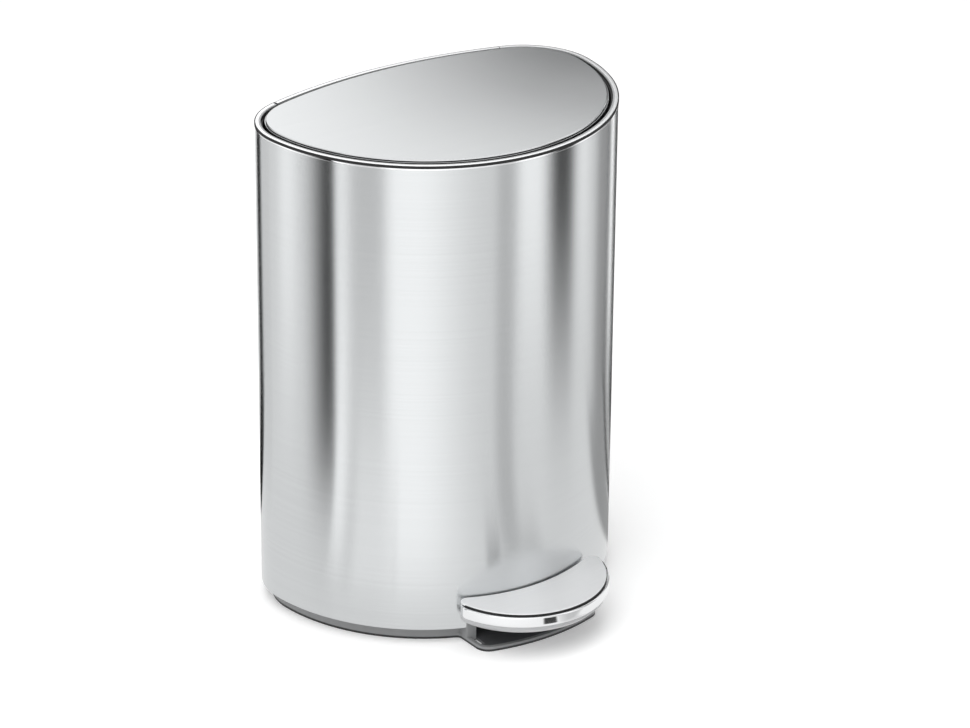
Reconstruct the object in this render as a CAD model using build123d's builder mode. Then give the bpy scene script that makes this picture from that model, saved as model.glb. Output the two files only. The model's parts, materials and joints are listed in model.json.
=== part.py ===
from build123d import *
import os
from math import asin, atan2, cos, degrees, radians, sin, sqrt

# Half-round step can. X runs across the can, -Y is the pedal side, Z is up.
# The origin is on the floor, under the middle of the can with its pedal.

# Plan of the body: a round front, two round corners and a slightly bowed back
body_radius = 116.0
body_depth = 166.0
back_radius = 292.0
corner_radius = 44.5
body_height = 312.0

# Fits
seat_fit = 0.1
running_fit = 0.06
rubber_gap = 0.3

# Steel shell
shell_wall = 0.8
shell_bottom = 9.6

# Polished rim on the top edge, open at the back where the rear trim closes it
rim_height = 3.0
rim_width = 3.4
rim_overhang = 0.3
rim_outer_round = 1.6
rim_inner_round = 1.2
rim_skirt_depth = 7.0
rim_skirt_wall = 1.0
rim_shadow_line = 0.5
trim_half_width = 86.0
trim_seam = 1.2

# Plastic collar inside the top of the shell
collar_wall = 2.2
collar_skirt_depth = 14.0
collar_lip_wall = 0.9
collar_lip_rise = 1.0
ledge_width = 4.8
ledge_thickness = 2.0
shelf_drop = 4.4
bridge_depth = 10.0
bridge_wall = 2.4

# Lid
lid_gap = 2.4
lid_rise = 0.8
lid_edge_round = 3.0
lid_skin_wall = 0.8
lid_skirt = 8.0
lid_hem = 2.6
liner_plate = 2.0
liner_wall = 1.6
liner_rib = 1.8
liner_rib_spacing = 44.0
liner_rib_margin = 10.0
bumper_radius = 2.2
bumper_angles = (212, 248, 292, 328)

# Lid hinge
lid_swing = 80.0
hinge_setback = 16.0
hinge_pin_radius = 1.25
hinge_spacing = 96.0
ear_thickness = 5.4
ear_boss_radius = 2.0
ear_back_angle = 65.0
ear_back_setback = 5.5
ear_waist_drop = 4.2
ear_front_angle = 45.0
ear_shoulder_setback = 9.0
ear_shoulder_drop = 3.0
arm_thickness = 5.2
arm_reach = 12.0
side_play = 0.3

# Lever under the lid, and the rod that lifts it
lever_radius = 18.0
lever_pin_radius = 1.5
lever_pin_half_length = 7.4
lever_eye_radius = 3.5
lever_cheek_gap = 5.2
lever_sheet = 1.6
lever_base_width = 28.0
lever_base_depth = 15.0
lever_strip_depth = 6.0
lever_screw_spacing = 20.8
lever_screw_length = 6.0
rod_radius = 2.5
head_half_width = 4.4
head_wall = 1.7
slot_play = 0.3
window_play = 1.5
rod_grip = 4.0
foot_half_width = 4.8
foot_wall = 2.0
foot_top_wall = 4.8
tip_pin_radius = 2.0
tip_rest_z = 8.0
tip_play = 0.25
tip_eye_radius = 4.0

# Pedal lever
pivot_setback = 30.0
pivot_z = 12.0
axle_radius = 2.5
arm_sheet = 2.0
arm_flange_gap = 5.4
flange_front_gap = 5.6
web_end_gap = 7.0
tongue_half_width = 16.0
tongue_z = 18.0
tongue_reach = 22.0
tongue_corner = 4.0
hub_radius = 5.0
axle_boss_gap = 19.6
axle_boss_wall = 4.0
axle_boss_radius = 7.0
clip_thickness = 1.0
clip_radius = 5.0

# Pedal: a crescent in front of the shell, dished, with a polished edge band
pedal_radius = 55.0
pedal_centre_setback = 15.0
pedal_shell_gap = 1.3
pedal_tip_round = 7.0
plate_edge_step = 1.8
plate_thickness = 1.2
dish_radius = 1100.0
dish_low_z = 30.3
dish_setback = 3.0
band_bottom_z = 22.0
band_wall = 2.8
band_top_round = 2.4
band_bottom_round = 1.6
pedal_lip_height = 2.0
pedal_lip_step = 1.8
pedal_under_depth = 2.4
pedal_body_wall = 2.2
pedal_body_roof = 1.6
pedal_screw_spacing = 20.0
pedal_screw_reach = 13.0
pedal_screw_length = 6.0
pedal_boss_radius = 4.0

# Base moulding and what closes it from below
ring_pad_height = 0.8
foot_inset = 6.5
base_wall = 2.4
base_plug_top = 37.0
deck_thickness = 2.0
tray_reach = 15.8
tray_half_width = 44.0
tray_corner = 9.0
tray_join = 4.0
tray_lip_top = 3.0
cheek_wall = 5.4
cheek_depth = 15.0
cheek_proud = 0.65
mouth_top = 25.0
bottom_plate_thickness = 1.6
bottom_plate_z = 1.0
post_radius = 4.5
post_inset = 18.0
post_angle = 33.0
screw_radius = 1.4
screw_head_radius = 2.8
screw_head_height = 1.3
bottom_screw_length = 12.0

# Channel behind the bucket for the rod and the damper
channel_half_width = 24.0
channel_wall = 2.0
channel_front_gap = 9.0
foot_lug_width = 14.0
foot_lug_depth = 11.0
lug_thickness = 2.4
channel_screw_inset = 7.0
foot_window_half = 12.0
guide_thickness = 6.0
lower_guide_z = 44.0
upper_guide_drop = 36.0

# Damper beside the rod
damper_radius = 6.5
damper_wall = 1.3
damper_bottom_z = 100.0
damper_length = 70.0
piston_rest_z = 108.0
piston_length = 6.0
piston_clearance = 0.08
stem_radius = 1.5
clamp_z = 200.0
clamp_height = 6.0
clamp_wall = 2.2

# Inner bucket
bucket_gap = 0.6
bucket_rim_width = 1.8
bucket_rim_height = 3.0
bucket_wall = 1.8
bucket_floor = 2.0
bucket_lift_room = 12.0
bucket_back_gap = 1.5
bucket_corner = 10.0
bucket_bottom_round = 5.0
bucket_channel_gap = 3.0
bucket_recess_round = 8.0

# Places worked out from the sizes above
pedal_reach = pedal_radius - pedal_centre_setback
front_y = pedal_reach - (body_depth + rim_overhang + pedal_reach) / 2
back_y = front_y + body_depth
arc_y = front_y + body_radius
back_centre_y = back_y - back_radius
centres_apart = arc_y - back_centre_y
corner_from_back = back_radius - corner_radius
corner_from_front = body_radius - corner_radius
corner_offset = (corner_from_back**2 - corner_from_front**2 + centres_apart**2) / (2 * centres_apart)
corner_y = back_centre_y + corner_offset
corner_x = sqrt(corner_from_front**2 - (corner_y - arc_y) ** 2)
front_end = degrees(atan2(corner_y - arc_y, corner_x))
corner_end = degrees(atan2(corner_y - back_centre_y, corner_x))

rim_bottom = body_height - rim_height
rim_skirt_bottom = rim_bottom - rim_skirt_depth
inside_shell = shell_wall + seat_fit
inside_rim_skirt = inside_shell + rim_skirt_wall + seat_fit
collar_lip_inset = rim_width + seat_fit
collar_inner = collar_lip_inset + collar_lip_wall
ledge_top = rim_skirt_bottom
ledge_inner = collar_inner + ledge_width
shelf_top = ledge_top - shelf_drop
shelf_bottom = shelf_top - ledge_thickness

lid_inset = rim_width + lid_gap
lid_top = body_height + lid_rise
lid_bottom = lid_top - lid_skirt
skin_under = lid_top - lid_skin_wall
liner_bottom = lid_bottom + lid_skin_wall
liner_top = liner_bottom + liner_plate
liner_inset = lid_inset + lid_skin_wall + seat_fit
hinge_y = back_y - hinge_setback
hinge_z = lid_top - lid_edge_round
liner_back_y = hinge_y - arm_reach
ear_x = hinge_spacing / 2

half_swing = radians(lid_swing / 2)
lift = 2 * lever_radius * sin(half_swing)
lever_pin_y = hinge_y - lever_radius * cos(half_swing)
lever_pin_z = hinge_z - lever_radius * sin(half_swing)
pin_wander = lever_radius * (1 - cos(half_swing)) / 2
pin_stray = lever_radius * (sin(half_swing / 2) - sin(half_swing) / 2)
rod_y = lever_pin_y - pin_wander
head_slot_length = 2 * (pin_wander + lever_pin_radius + slot_play)
head_slot_height = 2 * (abs(pin_stray) + lever_pin_radius + slot_play)

pivot_y = front_y + pivot_setback
tip_distance = rod_y - pivot_y
tip_drop = pivot_z - tip_rest_z
tip_arm = sqrt(tip_distance**2 + tip_drop**2)
tip_end_angle = asin((lift - tip_drop) / tip_arm)
pedal_swing = degrees(asin(tip_drop / tip_arm) + tip_end_angle)
tip_wander = tip_arm * (1 - cos(tip_end_angle)) / 2
foot_slot_y = rod_y - tip_wander
foot_slot_length = 2 * (tip_wander + tip_pin_radius + tip_play)
foot_slot_height = 2 * (tip_pin_radius + tip_play)

deck_bottom = base_plug_top - deck_thickness
floor_top = bottom_plate_z + bottom_plate_thickness
channel_front_y = rod_y - channel_front_gap - channel_wall
bridge_front_y = liner_back_y
bridge_back_y = bridge_front_y + bridge_wall
channel_back_y = bridge_back_y + foot_lug_depth
lug_half_width = channel_half_width + foot_lug_width
channel_screw_x = lug_half_width - channel_screw_inset
channel_screw_y = bridge_back_y + foot_lug_depth / 2
channel_screw_length = lug_thickness + deck_thickness

bucket_back_y = bridge_front_y - bucket_back_gap
recess_front_y = channel_front_y - bucket_channel_gap
recess_half_width = channel_half_width + bucket_channel_gap
bucket_bottom = base_plug_top + rubber_gap
bucket_top = liner_bottom - bucket_lift_room

pedal_y = front_y + pedal_centre_setback
pedal_inner_gap = pedal_shell_gap + band_wall + seat_fit
pedal_screw_y = front_y - pedal_screw_reach
tongue_top = tongue_z + arm_sheet
lip_bottom_z = band_bottom_z - pedal_lip_height
pedal_bottom_z = lip_bottom_z - pedal_under_depth

print("lid hinge y", round(hinge_y, 3), "z", round(hinge_z, 3), "swing", lid_swing)
print("lift rod y", round(rod_y, 3), "lift", round(lift, 4), "pin strays", round(pin_stray, 3))
print("pedal pivot y", round(pivot_y, 3), "z", pivot_z, "swing", round(pedal_swing, 4))

os.makedirs("parts", exist_ok=True)


# Plan outline of the can, moved in by an inset
def plan(inset):
    front_sweep = 180 + 2 * front_end
    corner_sweep = corner_end - front_end
    with BuildSketch(mode=Mode.PRIVATE) as outline:
        with BuildLine():
            CenterArc((0, arc_y), body_radius - inset, 180 - front_end, front_sweep)
            CenterArc((corner_x, corner_y), corner_radius - inset, front_end, corner_sweep)
            CenterArc((0, back_centre_y), back_radius - inset, corner_end, 180 - 2 * corner_end)
            CenterArc((-corner_x, corner_y), corner_radius - inset, 180 - corner_end, corner_sweep)
        make_face()
    return outline.sketch


# Band between two insets of the plan outline
def band(outer_inset, inner_inset):
    with BuildSketch(mode=Mode.PRIVATE) as ring:
        add(plan(outer_inset))
        add(plan(inner_inset), mode=Mode.SUBTRACT)
    return ring.sketch


# Rectangle given by its four sides
def area(x_min, x_max, y_min, y_max):
    with BuildSketch(mode=Mode.PRIVATE) as face:
        with Locations(((x_min + x_max) / 2, (y_min + y_max) / 2)):
            Rectangle(x_max - x_min, y_max - y_min)
    return face.sketch


# Everything in front of a line across the can
def ahead_of(y):
    return area(-body_depth, body_depth, y - 2 * body_depth, y)


# Everything behind a line across the can
def behind(y):
    return area(-body_depth, body_depth, y, y + 2 * body_depth)


# Outline of the base on the floor: the body moved in, and the tray under the pedal
def footprint(inset):
    half = tray_half_width - inset
    join_y = arc_y - sqrt((body_radius - foot_inset - inset) ** 2 - half**2)
    with BuildSketch(mode=Mode.PRIVATE) as outline:
        with Locations((0, arc_y)):
            Circle(body_radius + tray_reach - inset)
        add(area(-half, half, front_y - body_depth, arc_y - corner_radius), mode=Mode.INTERSECT)
        fillet(outline.vertices().group_by(Axis.Y)[0], tray_corner - inset)
        add(plan(foot_inset + inset))
        sides = outline.vertices().filter_by(lambda v: abs(abs(v.X) - half) < 0.01)
        fillet(sides.filter_by(lambda v: abs(v.Y - join_y) < 0.01), tray_join + inset)
    return outline.sketch


# Crescent of the pedal seen from above
def crescent(radius, shell_gap, tip_round):
    with BuildSketch(mode=Mode.PRIVATE) as outline:
        with Locations((0, pedal_y)):
            Circle(radius)
        with Locations((0, arc_y)):
            Circle(body_radius + shell_gap, mode=Mode.SUBTRACT)
        fillet(outline.vertices().group_by(Axis.Y)[-1], tip_round)
    return outline.sketch


# Ball that hollows the top of the pedal, sunk by a depth
def dish(depth):
    with BuildPart(mode=Mode.PRIVATE) as ball:
        with Locations((0, front_y + dish_setback, dish_low_z + dish_radius)):
            Sphere(dish_radius + depth)
    return ball.part


# Column of a sketch between two heights
def column(sketch, z_min, z_max):
    with BuildPart(mode=Mode.PRIVATE) as solid:
        with BuildSketch(Plane.XY.offset(z_min)):
            add(sketch)
        extrude(amount=z_max - z_min)
    return solid.part


# Upright slice of a sketch drawn in Y and Z, between two places along X
def slice_of(sketch, x_min, x_max):
    with BuildPart(mode=Mode.PRIVATE) as solid:
        with BuildSketch(Plane.YZ.offset(x_min)):
            add(sketch)
        extrude(amount=x_max - x_min)
    return solid.part


# Disc or washer for a slice, centred on a point in Y and Z
def disc(y, z, radius, hole=0):
    with BuildSketch(mode=Mode.PRIVATE) as face:
        with Locations((y, z)):
            Circle(radius)
            if hole:
                Circle(hole, mode=Mode.SUBTRACT)
    return face.sketch


# Closed outline of straight sides, for a slice
def outline_of(*points):
    with BuildSketch(mode=Mode.PRIVATE) as face:
        with BuildLine():
            Polyline(*points, close=True)
        make_face()
    return face.sketch


# Pan-head screw with its head against a face at height z, pointing up or down
def screw(x, y, z, length, points_up):
    head_z = z - screw_head_height if points_up else z
    shank_z = z if points_up else z - length
    with BuildPart(mode=Mode.PRIVATE) as body:
        with BuildSketch(Plane.XY.offset(head_z)):
            with Locations((x, y)):
                Circle(screw_head_radius)
        extrude(amount=screw_head_height)
        crown = body.faces().sort_by(Axis.Z)[0 if points_up else -1]
        fillet(crown.edges(), screw_head_height / 2)
        with BuildSketch(Plane.XY.offset(shank_z)):
            with Locations((x, y)):
                Circle(screw_radius)
        extrude(amount=length)
    return body.part


# Write one piece under its node name
def write(builder, name):
    builder.part.label = name
    export_step(builder.part, f"parts/{name}.step")


# Outer shell: rolled steel sheet with a mouth for the pedal
with BuildPart() as outer_shell:
    with BuildSketch(Plane.XY.offset(shell_bottom)):
        add(band(0, shell_wall))
    extrude(amount=rim_bottom - shell_bottom)
    with BuildSketch(Plane.XZ.offset(pedal_reach - front_y)):
        with Locations((0, (shell_bottom + mouth_top) / 2)):
            Rectangle(2 * tray_half_width, mouth_top - shell_bottom)
    extrude(amount=-pedal_reach - cheek_depth, mode=Mode.SUBTRACT)
write(outer_shell, "outer_shell")


# Rim all the way round, with the skirt that plugs into the shell
def whole_rim():
    with BuildPart(mode=Mode.PRIVATE) as ring:
        with BuildSketch(Plane.XY.offset(rim_bottom)):
            add(band(-rim_overhang, rim_width))
        extrude(amount=rim_height)
        fillet(ring.faces().sort_by(Axis.Z)[-1].outer_wire().edges(), rim_outer_round)
        fillet(ring.faces().sort_by(Axis.Z)[-1].inner_wires()[0].edges(), rim_inner_round)
        chamfer(ring.faces().sort_by(Axis.Z)[0].outer_wire().edges(), rim_shadow_line)
        with BuildSketch(Plane.XY.offset(rim_skirt_bottom)):
            add(band(inside_shell, inside_shell + rim_skirt_wall))
        extrude(amount=rim_skirt_depth)
    return ring.part


# Block that holds the rear trim and is taken out of the ring, wider by a seam
def trim_block(seam):
    zone = area(-trim_half_width - seam, trim_half_width + seam, arc_y, back_y + rim_width)
    return column(zone, rim_skirt_bottom, lid_top)


with BuildPart() as rim_ring:
    add(whole_rim())
    add(trim_block(trim_seam), mode=Mode.SUBTRACT)
write(rim_ring, "rim_ring")

with BuildPart() as rear_trim:
    add(whole_rim())
    add(trim_block(0), mode=Mode.INTERSECT)
write(rear_trim, "rear_trim")

# Collar: a lip and a ledge round the lid, then a bridge, a low shelf and two hinge ears behind it
window_half = lever_pin_half_length + window_play
window_front_y = rod_y - head_slot_length / 2 - head_wall - window_play
window_back_y = lever_pin_y + lever_eye_radius + window_play
strip = area(-body_radius, body_radius, bridge_front_y, bridge_back_y)
back_turn = radians(ear_back_angle)
front_turn = radians(ear_front_angle)
ear_outline = outline_of(
    (bridge_front_y, shelf_top),
    (hinge_y - ear_back_setback, shelf_top),
    (hinge_y - ear_back_setback, hinge_z - ear_waist_drop),
    (hinge_y + ear_boss_radius * cos(back_turn), hinge_z - ear_boss_radius * sin(back_turn)),
    (hinge_y - ear_boss_radius * cos(front_turn), hinge_z + ear_boss_radius * sin(front_turn)),
    (hinge_y - ear_shoulder_setback, hinge_z - ear_shoulder_drop),
)
with BuildPart() as inner_collar:
    with BuildSketch(Plane.XY.offset(ledge_top - collar_skirt_depth)):
        add(band(inside_shell, inside_shell + collar_wall))
    extrude(amount=collar_skirt_depth)
    with BuildSketch(Plane.XY.offset(ledge_top)):
        add(band(inside_rim_skirt, collar_inner))
    extrude(amount=rim_bottom - ledge_top)
    with BuildSketch(Plane.XY.offset(rim_bottom)):
        add(band(collar_lip_inset, collar_inner))
        add(ahead_of(liner_back_y), mode=Mode.INTERSECT)
    extrude(amount=collar_lip_rise)
    with BuildSketch(Plane.XY.offset(ledge_top - ledge_thickness)):
        add(band(inside_shell, ledge_inner))
        add(ahead_of(bridge_back_y), mode=Mode.INTERSECT)
    extrude(amount=ledge_thickness)
    with BuildSketch(Plane.XY.offset(shelf_bottom)):
        add(plan(inside_shell))
        add(behind(bridge_front_y), mode=Mode.INTERSECT)
        add(area(-channel_half_width, channel_half_width, channel_front_y, bridge_back_y))
        add(area(-window_half, window_half, window_front_y, window_back_y), mode=Mode.SUBTRACT)
        with Locations((channel_screw_x, channel_screw_y), (-channel_screw_x, channel_screw_y)):
            Circle(screw_radius + seat_fit, mode=Mode.SUBTRACT)
    extrude(amount=ledge_thickness)
    with BuildSketch(Plane.XY.offset(shelf_bottom)):
        add(plan(inside_shell))
        add(strip, mode=Mode.INTERSECT)
        half = channel_half_width + seat_fit
        add(area(-half, half, bridge_front_y, bridge_back_y), mode=Mode.SUBTRACT)
    extrude(amount=-bridge_depth)
    with BuildSketch(Plane.XY.offset(shelf_top)):
        add(band(inside_shell, ledge_inner))
        add(strip, mode=Mode.INTERSECT)
    extrude(amount=ledge_top - shelf_top)
    for side in (-1, 1):
        ear_start = side * ear_x - ear_thickness / 2
        add(slice_of(ear_outline, ear_start, ear_start + ear_thickness))
        add(slice_of(disc(hinge_y, hinge_z, ear_boss_radius), ear_start, ear_start + ear_thickness))
        hole = disc(hinge_y, hinge_z, hinge_pin_radius + running_fit)
        add(slice_of(hole, ear_start, ear_start + ear_thickness), mode=Mode.SUBTRACT)
write(inner_collar, "inner_collar")

# Rubber bumpers on the ledge, under the lid
bumper_ring = body_radius - collar_inner - ledge_width / 2
with BuildPart() as lid_bumpers:
    with BuildSketch(Plane.XY.offset(ledge_top)):
        for angle in bumper_angles:
            with Locations((bumper_ring * cos(radians(angle)), arc_y + bumper_ring * sin(radians(angle)))):
                Circle(bumper_radius)
    extrude(amount=lid_bottom - ledge_top - rubber_gap)
write(lid_bumpers, "lid_bumpers")

# Screw posts of the base: two along the round front, two inside the rear corners
front_post_x = (body_radius - post_inset) * cos(radians(post_angle))
front_post_y = arc_y - (body_radius - post_inset) * sin(radians(post_angle))
rear_post_x = corner_x - post_inset
rear_post_y = corner_y + post_inset
post_places = (
    (front_post_x, front_post_y),
    (-front_post_x, front_post_y),
    (rear_post_x, rear_post_y),
    (-rear_post_x, rear_post_y),
)

# Base moulding: foot wall, plug in the shell, deck, pedal tray, cheeks, axle bosses and posts
tray_zone = area(-tray_half_width, tray_half_width, front_y - body_radius, front_y + cheek_depth)
mouth_half = tray_half_width - cheek_wall
boss_outline = outline_of(
    (pivot_y - axle_boss_radius, pivot_z),
    (pivot_y + axle_boss_radius, pivot_z),
    (pivot_y + axle_boss_radius, deck_bottom),
    (pivot_y - axle_boss_radius, deck_bottom),
)
with BuildPart() as base_moulding:
    with BuildSketch(Plane.XY.offset(ring_pad_height)):
        add(footprint(0))
        add(footprint(base_wall), mode=Mode.SUBTRACT)
    extrude(amount=tray_lip_top - ring_pad_height)
    with BuildSketch(Plane.XY.offset(tray_lip_top)):
        add(band(foot_inset, foot_inset + base_wall))
        add(tray_zone, mode=Mode.SUBTRACT)
    extrude(amount=shell_bottom - tray_lip_top)
    with BuildSketch(Plane.XY.offset(shell_bottom)):
        add(band(inside_shell, foot_inset + base_wall))
        add(tray_zone, mode=Mode.SUBTRACT)
    extrude(amount=base_wall)
    with BuildSketch(Plane.XY.offset(shell_bottom)):
        add(band(inside_shell, inside_shell + base_wall))
        add(tray_zone, mode=Mode.SUBTRACT)
    extrude(amount=base_plug_top - shell_bottom)
    with BuildSketch(Plane.XY.offset(mouth_top)):
        add(band(inside_shell, inside_shell + base_wall))
        add(tray_zone, mode=Mode.INTERSECT)
    extrude(amount=base_plug_top - mouth_top)
    with BuildSketch(Plane.XY.offset(deck_bottom)):
        add(plan(inside_shell))
        window_start_y = channel_front_y + channel_wall
        add(area(-foot_window_half, foot_window_half, window_start_y, channel_screw_y), mode=Mode.SUBTRACT)
        with Locations((channel_screw_x, channel_screw_y), (-channel_screw_x, channel_screw_y)):
            Circle(screw_radius + seat_fit, mode=Mode.SUBTRACT)
    extrude(amount=deck_thickness)
    for x_min in (mouth_half, -tray_half_width):
        with BuildSketch(Plane.XY.offset(ring_pad_height)):
            with Locations((0, arc_y)):
                Circle(body_radius + cheek_proud)
            sides = area(x_min, x_min + cheek_wall, front_y, front_y + cheek_depth + base_wall)
            add(sides, mode=Mode.INTERSECT)
        extrude(amount=mouth_top - ring_pad_height)
    for x_min in (-axle_boss_gap - axle_boss_wall, axle_boss_gap):
        x_max = x_min + axle_boss_wall
        add(slice_of(boss_outline, x_min, x_max))
        add(slice_of(disc(pivot_y, pivot_z, axle_boss_radius), x_min, x_max))
        add(slice_of(disc(pivot_y, pivot_z, axle_radius + running_fit), x_min, x_max), mode=Mode.SUBTRACT)
    with BuildSketch(Plane.XY.offset(floor_top)):
        with Locations(*post_places):
            Circle(post_radius)
    extrude(amount=deck_bottom - floor_top)
    with BuildSketch(Plane.XY.offset(floor_top)):
        with Locations(*post_places):
            Circle(screw_radius + seat_fit)
    extrude(amount=bottom_screw_length, mode=Mode.SUBTRACT)
write(base_moulding, "base_moulding")

# Soft ring that the can stands on
with BuildPart() as non_slip_ring:
    with BuildSketch():
        add(footprint(0))
        add(footprint(base_wall), mode=Mode.SUBTRACT)
    extrude(amount=ring_pad_height)
write(non_slip_ring, "non_slip_ring")


# Countersunk screws of the bottom plate, grown by a clearance where they cut their holes
def flat_screws(clearance):
    with BuildPart(mode=Mode.PRIVATE) as bodies:
        with BuildSketch(Plane.XY.offset(bottom_plate_z)):
            with Locations(*post_places):
                Circle(screw_head_radius + clearance)
        extrude(amount=screw_head_radius - screw_radius, taper=45)
        with BuildSketch(Plane.XY.offset(bottom_plate_z)):
            with Locations(*post_places):
                Circle(screw_radius + clearance)
        extrude(amount=bottom_screw_length)
    return bodies.part


# Plate that closes the base from below and is the floor of the pedal tray
with BuildPart() as bottom_plate:
    with BuildSketch(Plane.XY.offset(bottom_plate_z)):
        add(footprint(base_wall + seat_fit))
        slot_front_y = front_y - base_wall
        slot_back_y = front_y + cheek_depth + base_wall + seat_fit
        for x_min in (mouth_half - seat_fit, -tray_half_width - seat_fit):
            slot = area(x_min, x_min + cheek_wall + 2 * seat_fit, slot_front_y, slot_back_y)
            add(slot, mode=Mode.SUBTRACT)
    extrude(amount=bottom_plate_thickness)
    add(flat_screws(seat_fit), mode=Mode.SUBTRACT)
write(bottom_plate, "bottom_plate")

with BuildPart() as bottom_screws:
    add(flat_screws(0))
write(bottom_screws, "bottom_screws")

# Axle of the pedal lever, with nylon spacers on it and clips on its ends
axle_half = axle_boss_gap + axle_boss_wall + seat_fit + 2 * clip_thickness
with BuildPart() as pedal_axle:
    add(slice_of(disc(pivot_y, pivot_z, axle_radius), -axle_half, axle_half))
write(pedal_axle, "pedal_axle")

with BuildPart() as axle_spacers:
    tube = disc(pivot_y, pivot_z, hub_radius, axle_radius + running_fit)
    for x_min in (arm_flange_gap + arm_sheet + seat_fit, -axle_boss_gap + seat_fit):
        x_max = x_min + axle_boss_gap - arm_flange_gap - arm_sheet - 2 * seat_fit
        add(slice_of(tube, x_min, x_max))
write(axle_spacers, "axle_spacers")

with BuildPart() as axle_clips:
    ring = disc(pivot_y, pivot_z, clip_radius, axle_radius)
    clip_x = axle_boss_gap + axle_boss_wall + seat_fit
    for x_min in (clip_x, -clip_x - clip_thickness):
        add(slice_of(ring, x_min, x_min + clip_thickness))
write(axle_clips, "axle_clips")

# Channel behind the bucket, open at the back, screwed to the deck and to the shelf
with BuildPart() as rod_channel:
    with BuildSketch(Plane.XY.offset(base_plug_top)):
        add(area(-channel_half_width, channel_half_width, channel_front_y, channel_back_y))
        inner_half = channel_half_width - channel_wall
        add(area(-inner_half, inner_half, channel_front_y + channel_wall, channel_back_y), mode=Mode.SUBTRACT)
    extrude(amount=shelf_bottom - base_plug_top)
    for z_min in (base_plug_top, shelf_bottom - lug_thickness):
        with BuildSketch(Plane.XY.offset(z_min)):
            for x_min in (channel_half_width, -lug_half_width):
                add(area(x_min, x_min + foot_lug_width, bridge_back_y + seat_fit, channel_back_y))
            with Locations((channel_screw_x, channel_screw_y), (-channel_screw_x, channel_screw_y)):
                Circle(screw_radius + seat_fit, mode=Mode.SUBTRACT)
        extrude(amount=lug_thickness)
write(rod_channel, "rod_channel")

with BuildPart() as channel_screws:
    for x in (-channel_screw_x, channel_screw_x):
        add(screw(x, channel_screw_y, base_plug_top + lug_thickness, channel_screw_length, False))
        add(screw(x, channel_screw_y, shelf_bottom - lug_thickness, channel_screw_length, True))
write(channel_screws, "channel_screws")


# Guide across the channel that keeps the rod upright
def rod_guide(z_min):
    guide_half = channel_half_width - channel_wall - seat_fit
    guide_front_y = channel_front_y + channel_wall + seat_fit
    with BuildPart(mode=Mode.PRIVATE) as guide:
        with BuildSketch(Plane.XY.offset(z_min)):
            add(area(-guide_half, guide_half, guide_front_y, rod_y + channel_front_gap))
            with Locations((0, rod_y)):
                Circle(rod_radius + running_fit, mode=Mode.SUBTRACT)
        extrude(amount=guide_thickness)
    return guide.part


with BuildPart() as lower_rod_guide:
    add(rod_guide(lower_guide_z))
write(lower_rod_guide, "lower_rod_guide")

with BuildPart() as upper_rod_guide:
    add(rod_guide(shelf_bottom - upper_guide_drop))
write(upper_rod_guide, "upper_rod_guide")

# Damper that slows the lid: a cylinder seated in the corner of the channel
damper_x = channel_half_width - channel_wall - seat_fit - damper_radius
damper_y = channel_front_y + channel_wall + seat_fit + damper_radius
bore_radius = damper_radius - damper_wall
with BuildPart() as damper_cylinder:
    with BuildSketch(Plane.XY.offset(damper_bottom_z)):
        with Locations((damper_x, damper_y)):
            Circle(damper_radius)
    extrude(amount=damper_length)
    with BuildSketch(Plane.XY.offset(damper_bottom_z + damper_wall)):
        with Locations((damper_x, damper_y)):
            Circle(bore_radius)
    extrude(amount=damper_length - 2 * damper_wall, mode=Mode.SUBTRACT)
    with BuildSketch(Plane.XY.offset(damper_bottom_z + damper_length)):
        with Locations((damper_x, damper_y)):
            Circle(stem_radius + running_fit)
    extrude(amount=-2 * damper_wall, mode=Mode.SUBTRACT)
write(damper_cylinder, "damper_cylinder")

# Piston and stem of the damper, carried by the rod
with BuildPart() as damper_plunger:
    with BuildSketch(Plane.XY.offset(piston_rest_z)):
        with Locations((damper_x, damper_y)):
            Circle(bore_radius - piston_clearance)
    extrude(amount=piston_length)
    with BuildSketch(Plane.XY.offset(piston_rest_z)):
        with Locations((damper_x, damper_y)):
            Circle(stem_radius)
    extrude(amount=clamp_z + clamp_height - piston_rest_z)
write(damper_plunger, "damper_plunger")

# Clamp that ties the stem of the damper to the rod
with BuildPart() as damper_clamp:
    with BuildSketch(Plane.XY.offset(clamp_z)):
        clamp_half = rod_radius + clamp_wall
        with Locations((0, rod_y)):
            Circle(clamp_half)
        with Locations((damper_x, damper_y)):
            Circle(stem_radius + clamp_wall)
        add(area(0, damper_x, damper_y - stem_radius - clamp_wall / 2, rod_y + stem_radius))
        with Locations((0, rod_y)):
            Circle(rod_radius, mode=Mode.SUBTRACT)
        with Locations((damper_x, damper_y)):
            Circle(stem_radius, mode=Mode.SUBTRACT)
    extrude(amount=clamp_height)
write(damper_clamp, "damper_clamp")

# Lift rod, with a slotted head for the lid lever and a slotted foot for the pedal lever
head_half_height = head_slot_height / 2 + head_wall
foot_bottom = tip_rest_z - foot_slot_height / 2 - foot_wall
foot_top = tip_rest_z + foot_slot_height / 2 + foot_top_wall
rod_bottom = foot_top - rod_grip
head_bottom = lever_pin_z - head_half_height
rod_top = head_bottom + head_wall / 2
stalk_bottom = head_bottom - rod_grip

with BuildPart() as lift_rod:
    with BuildSketch(Plane.XY.offset(rod_bottom)):
        with Locations((0, rod_y)):
            Circle(rod_radius)
    extrude(amount=rod_top - rod_bottom)
write(lift_rod, "lift_rod")

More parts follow.
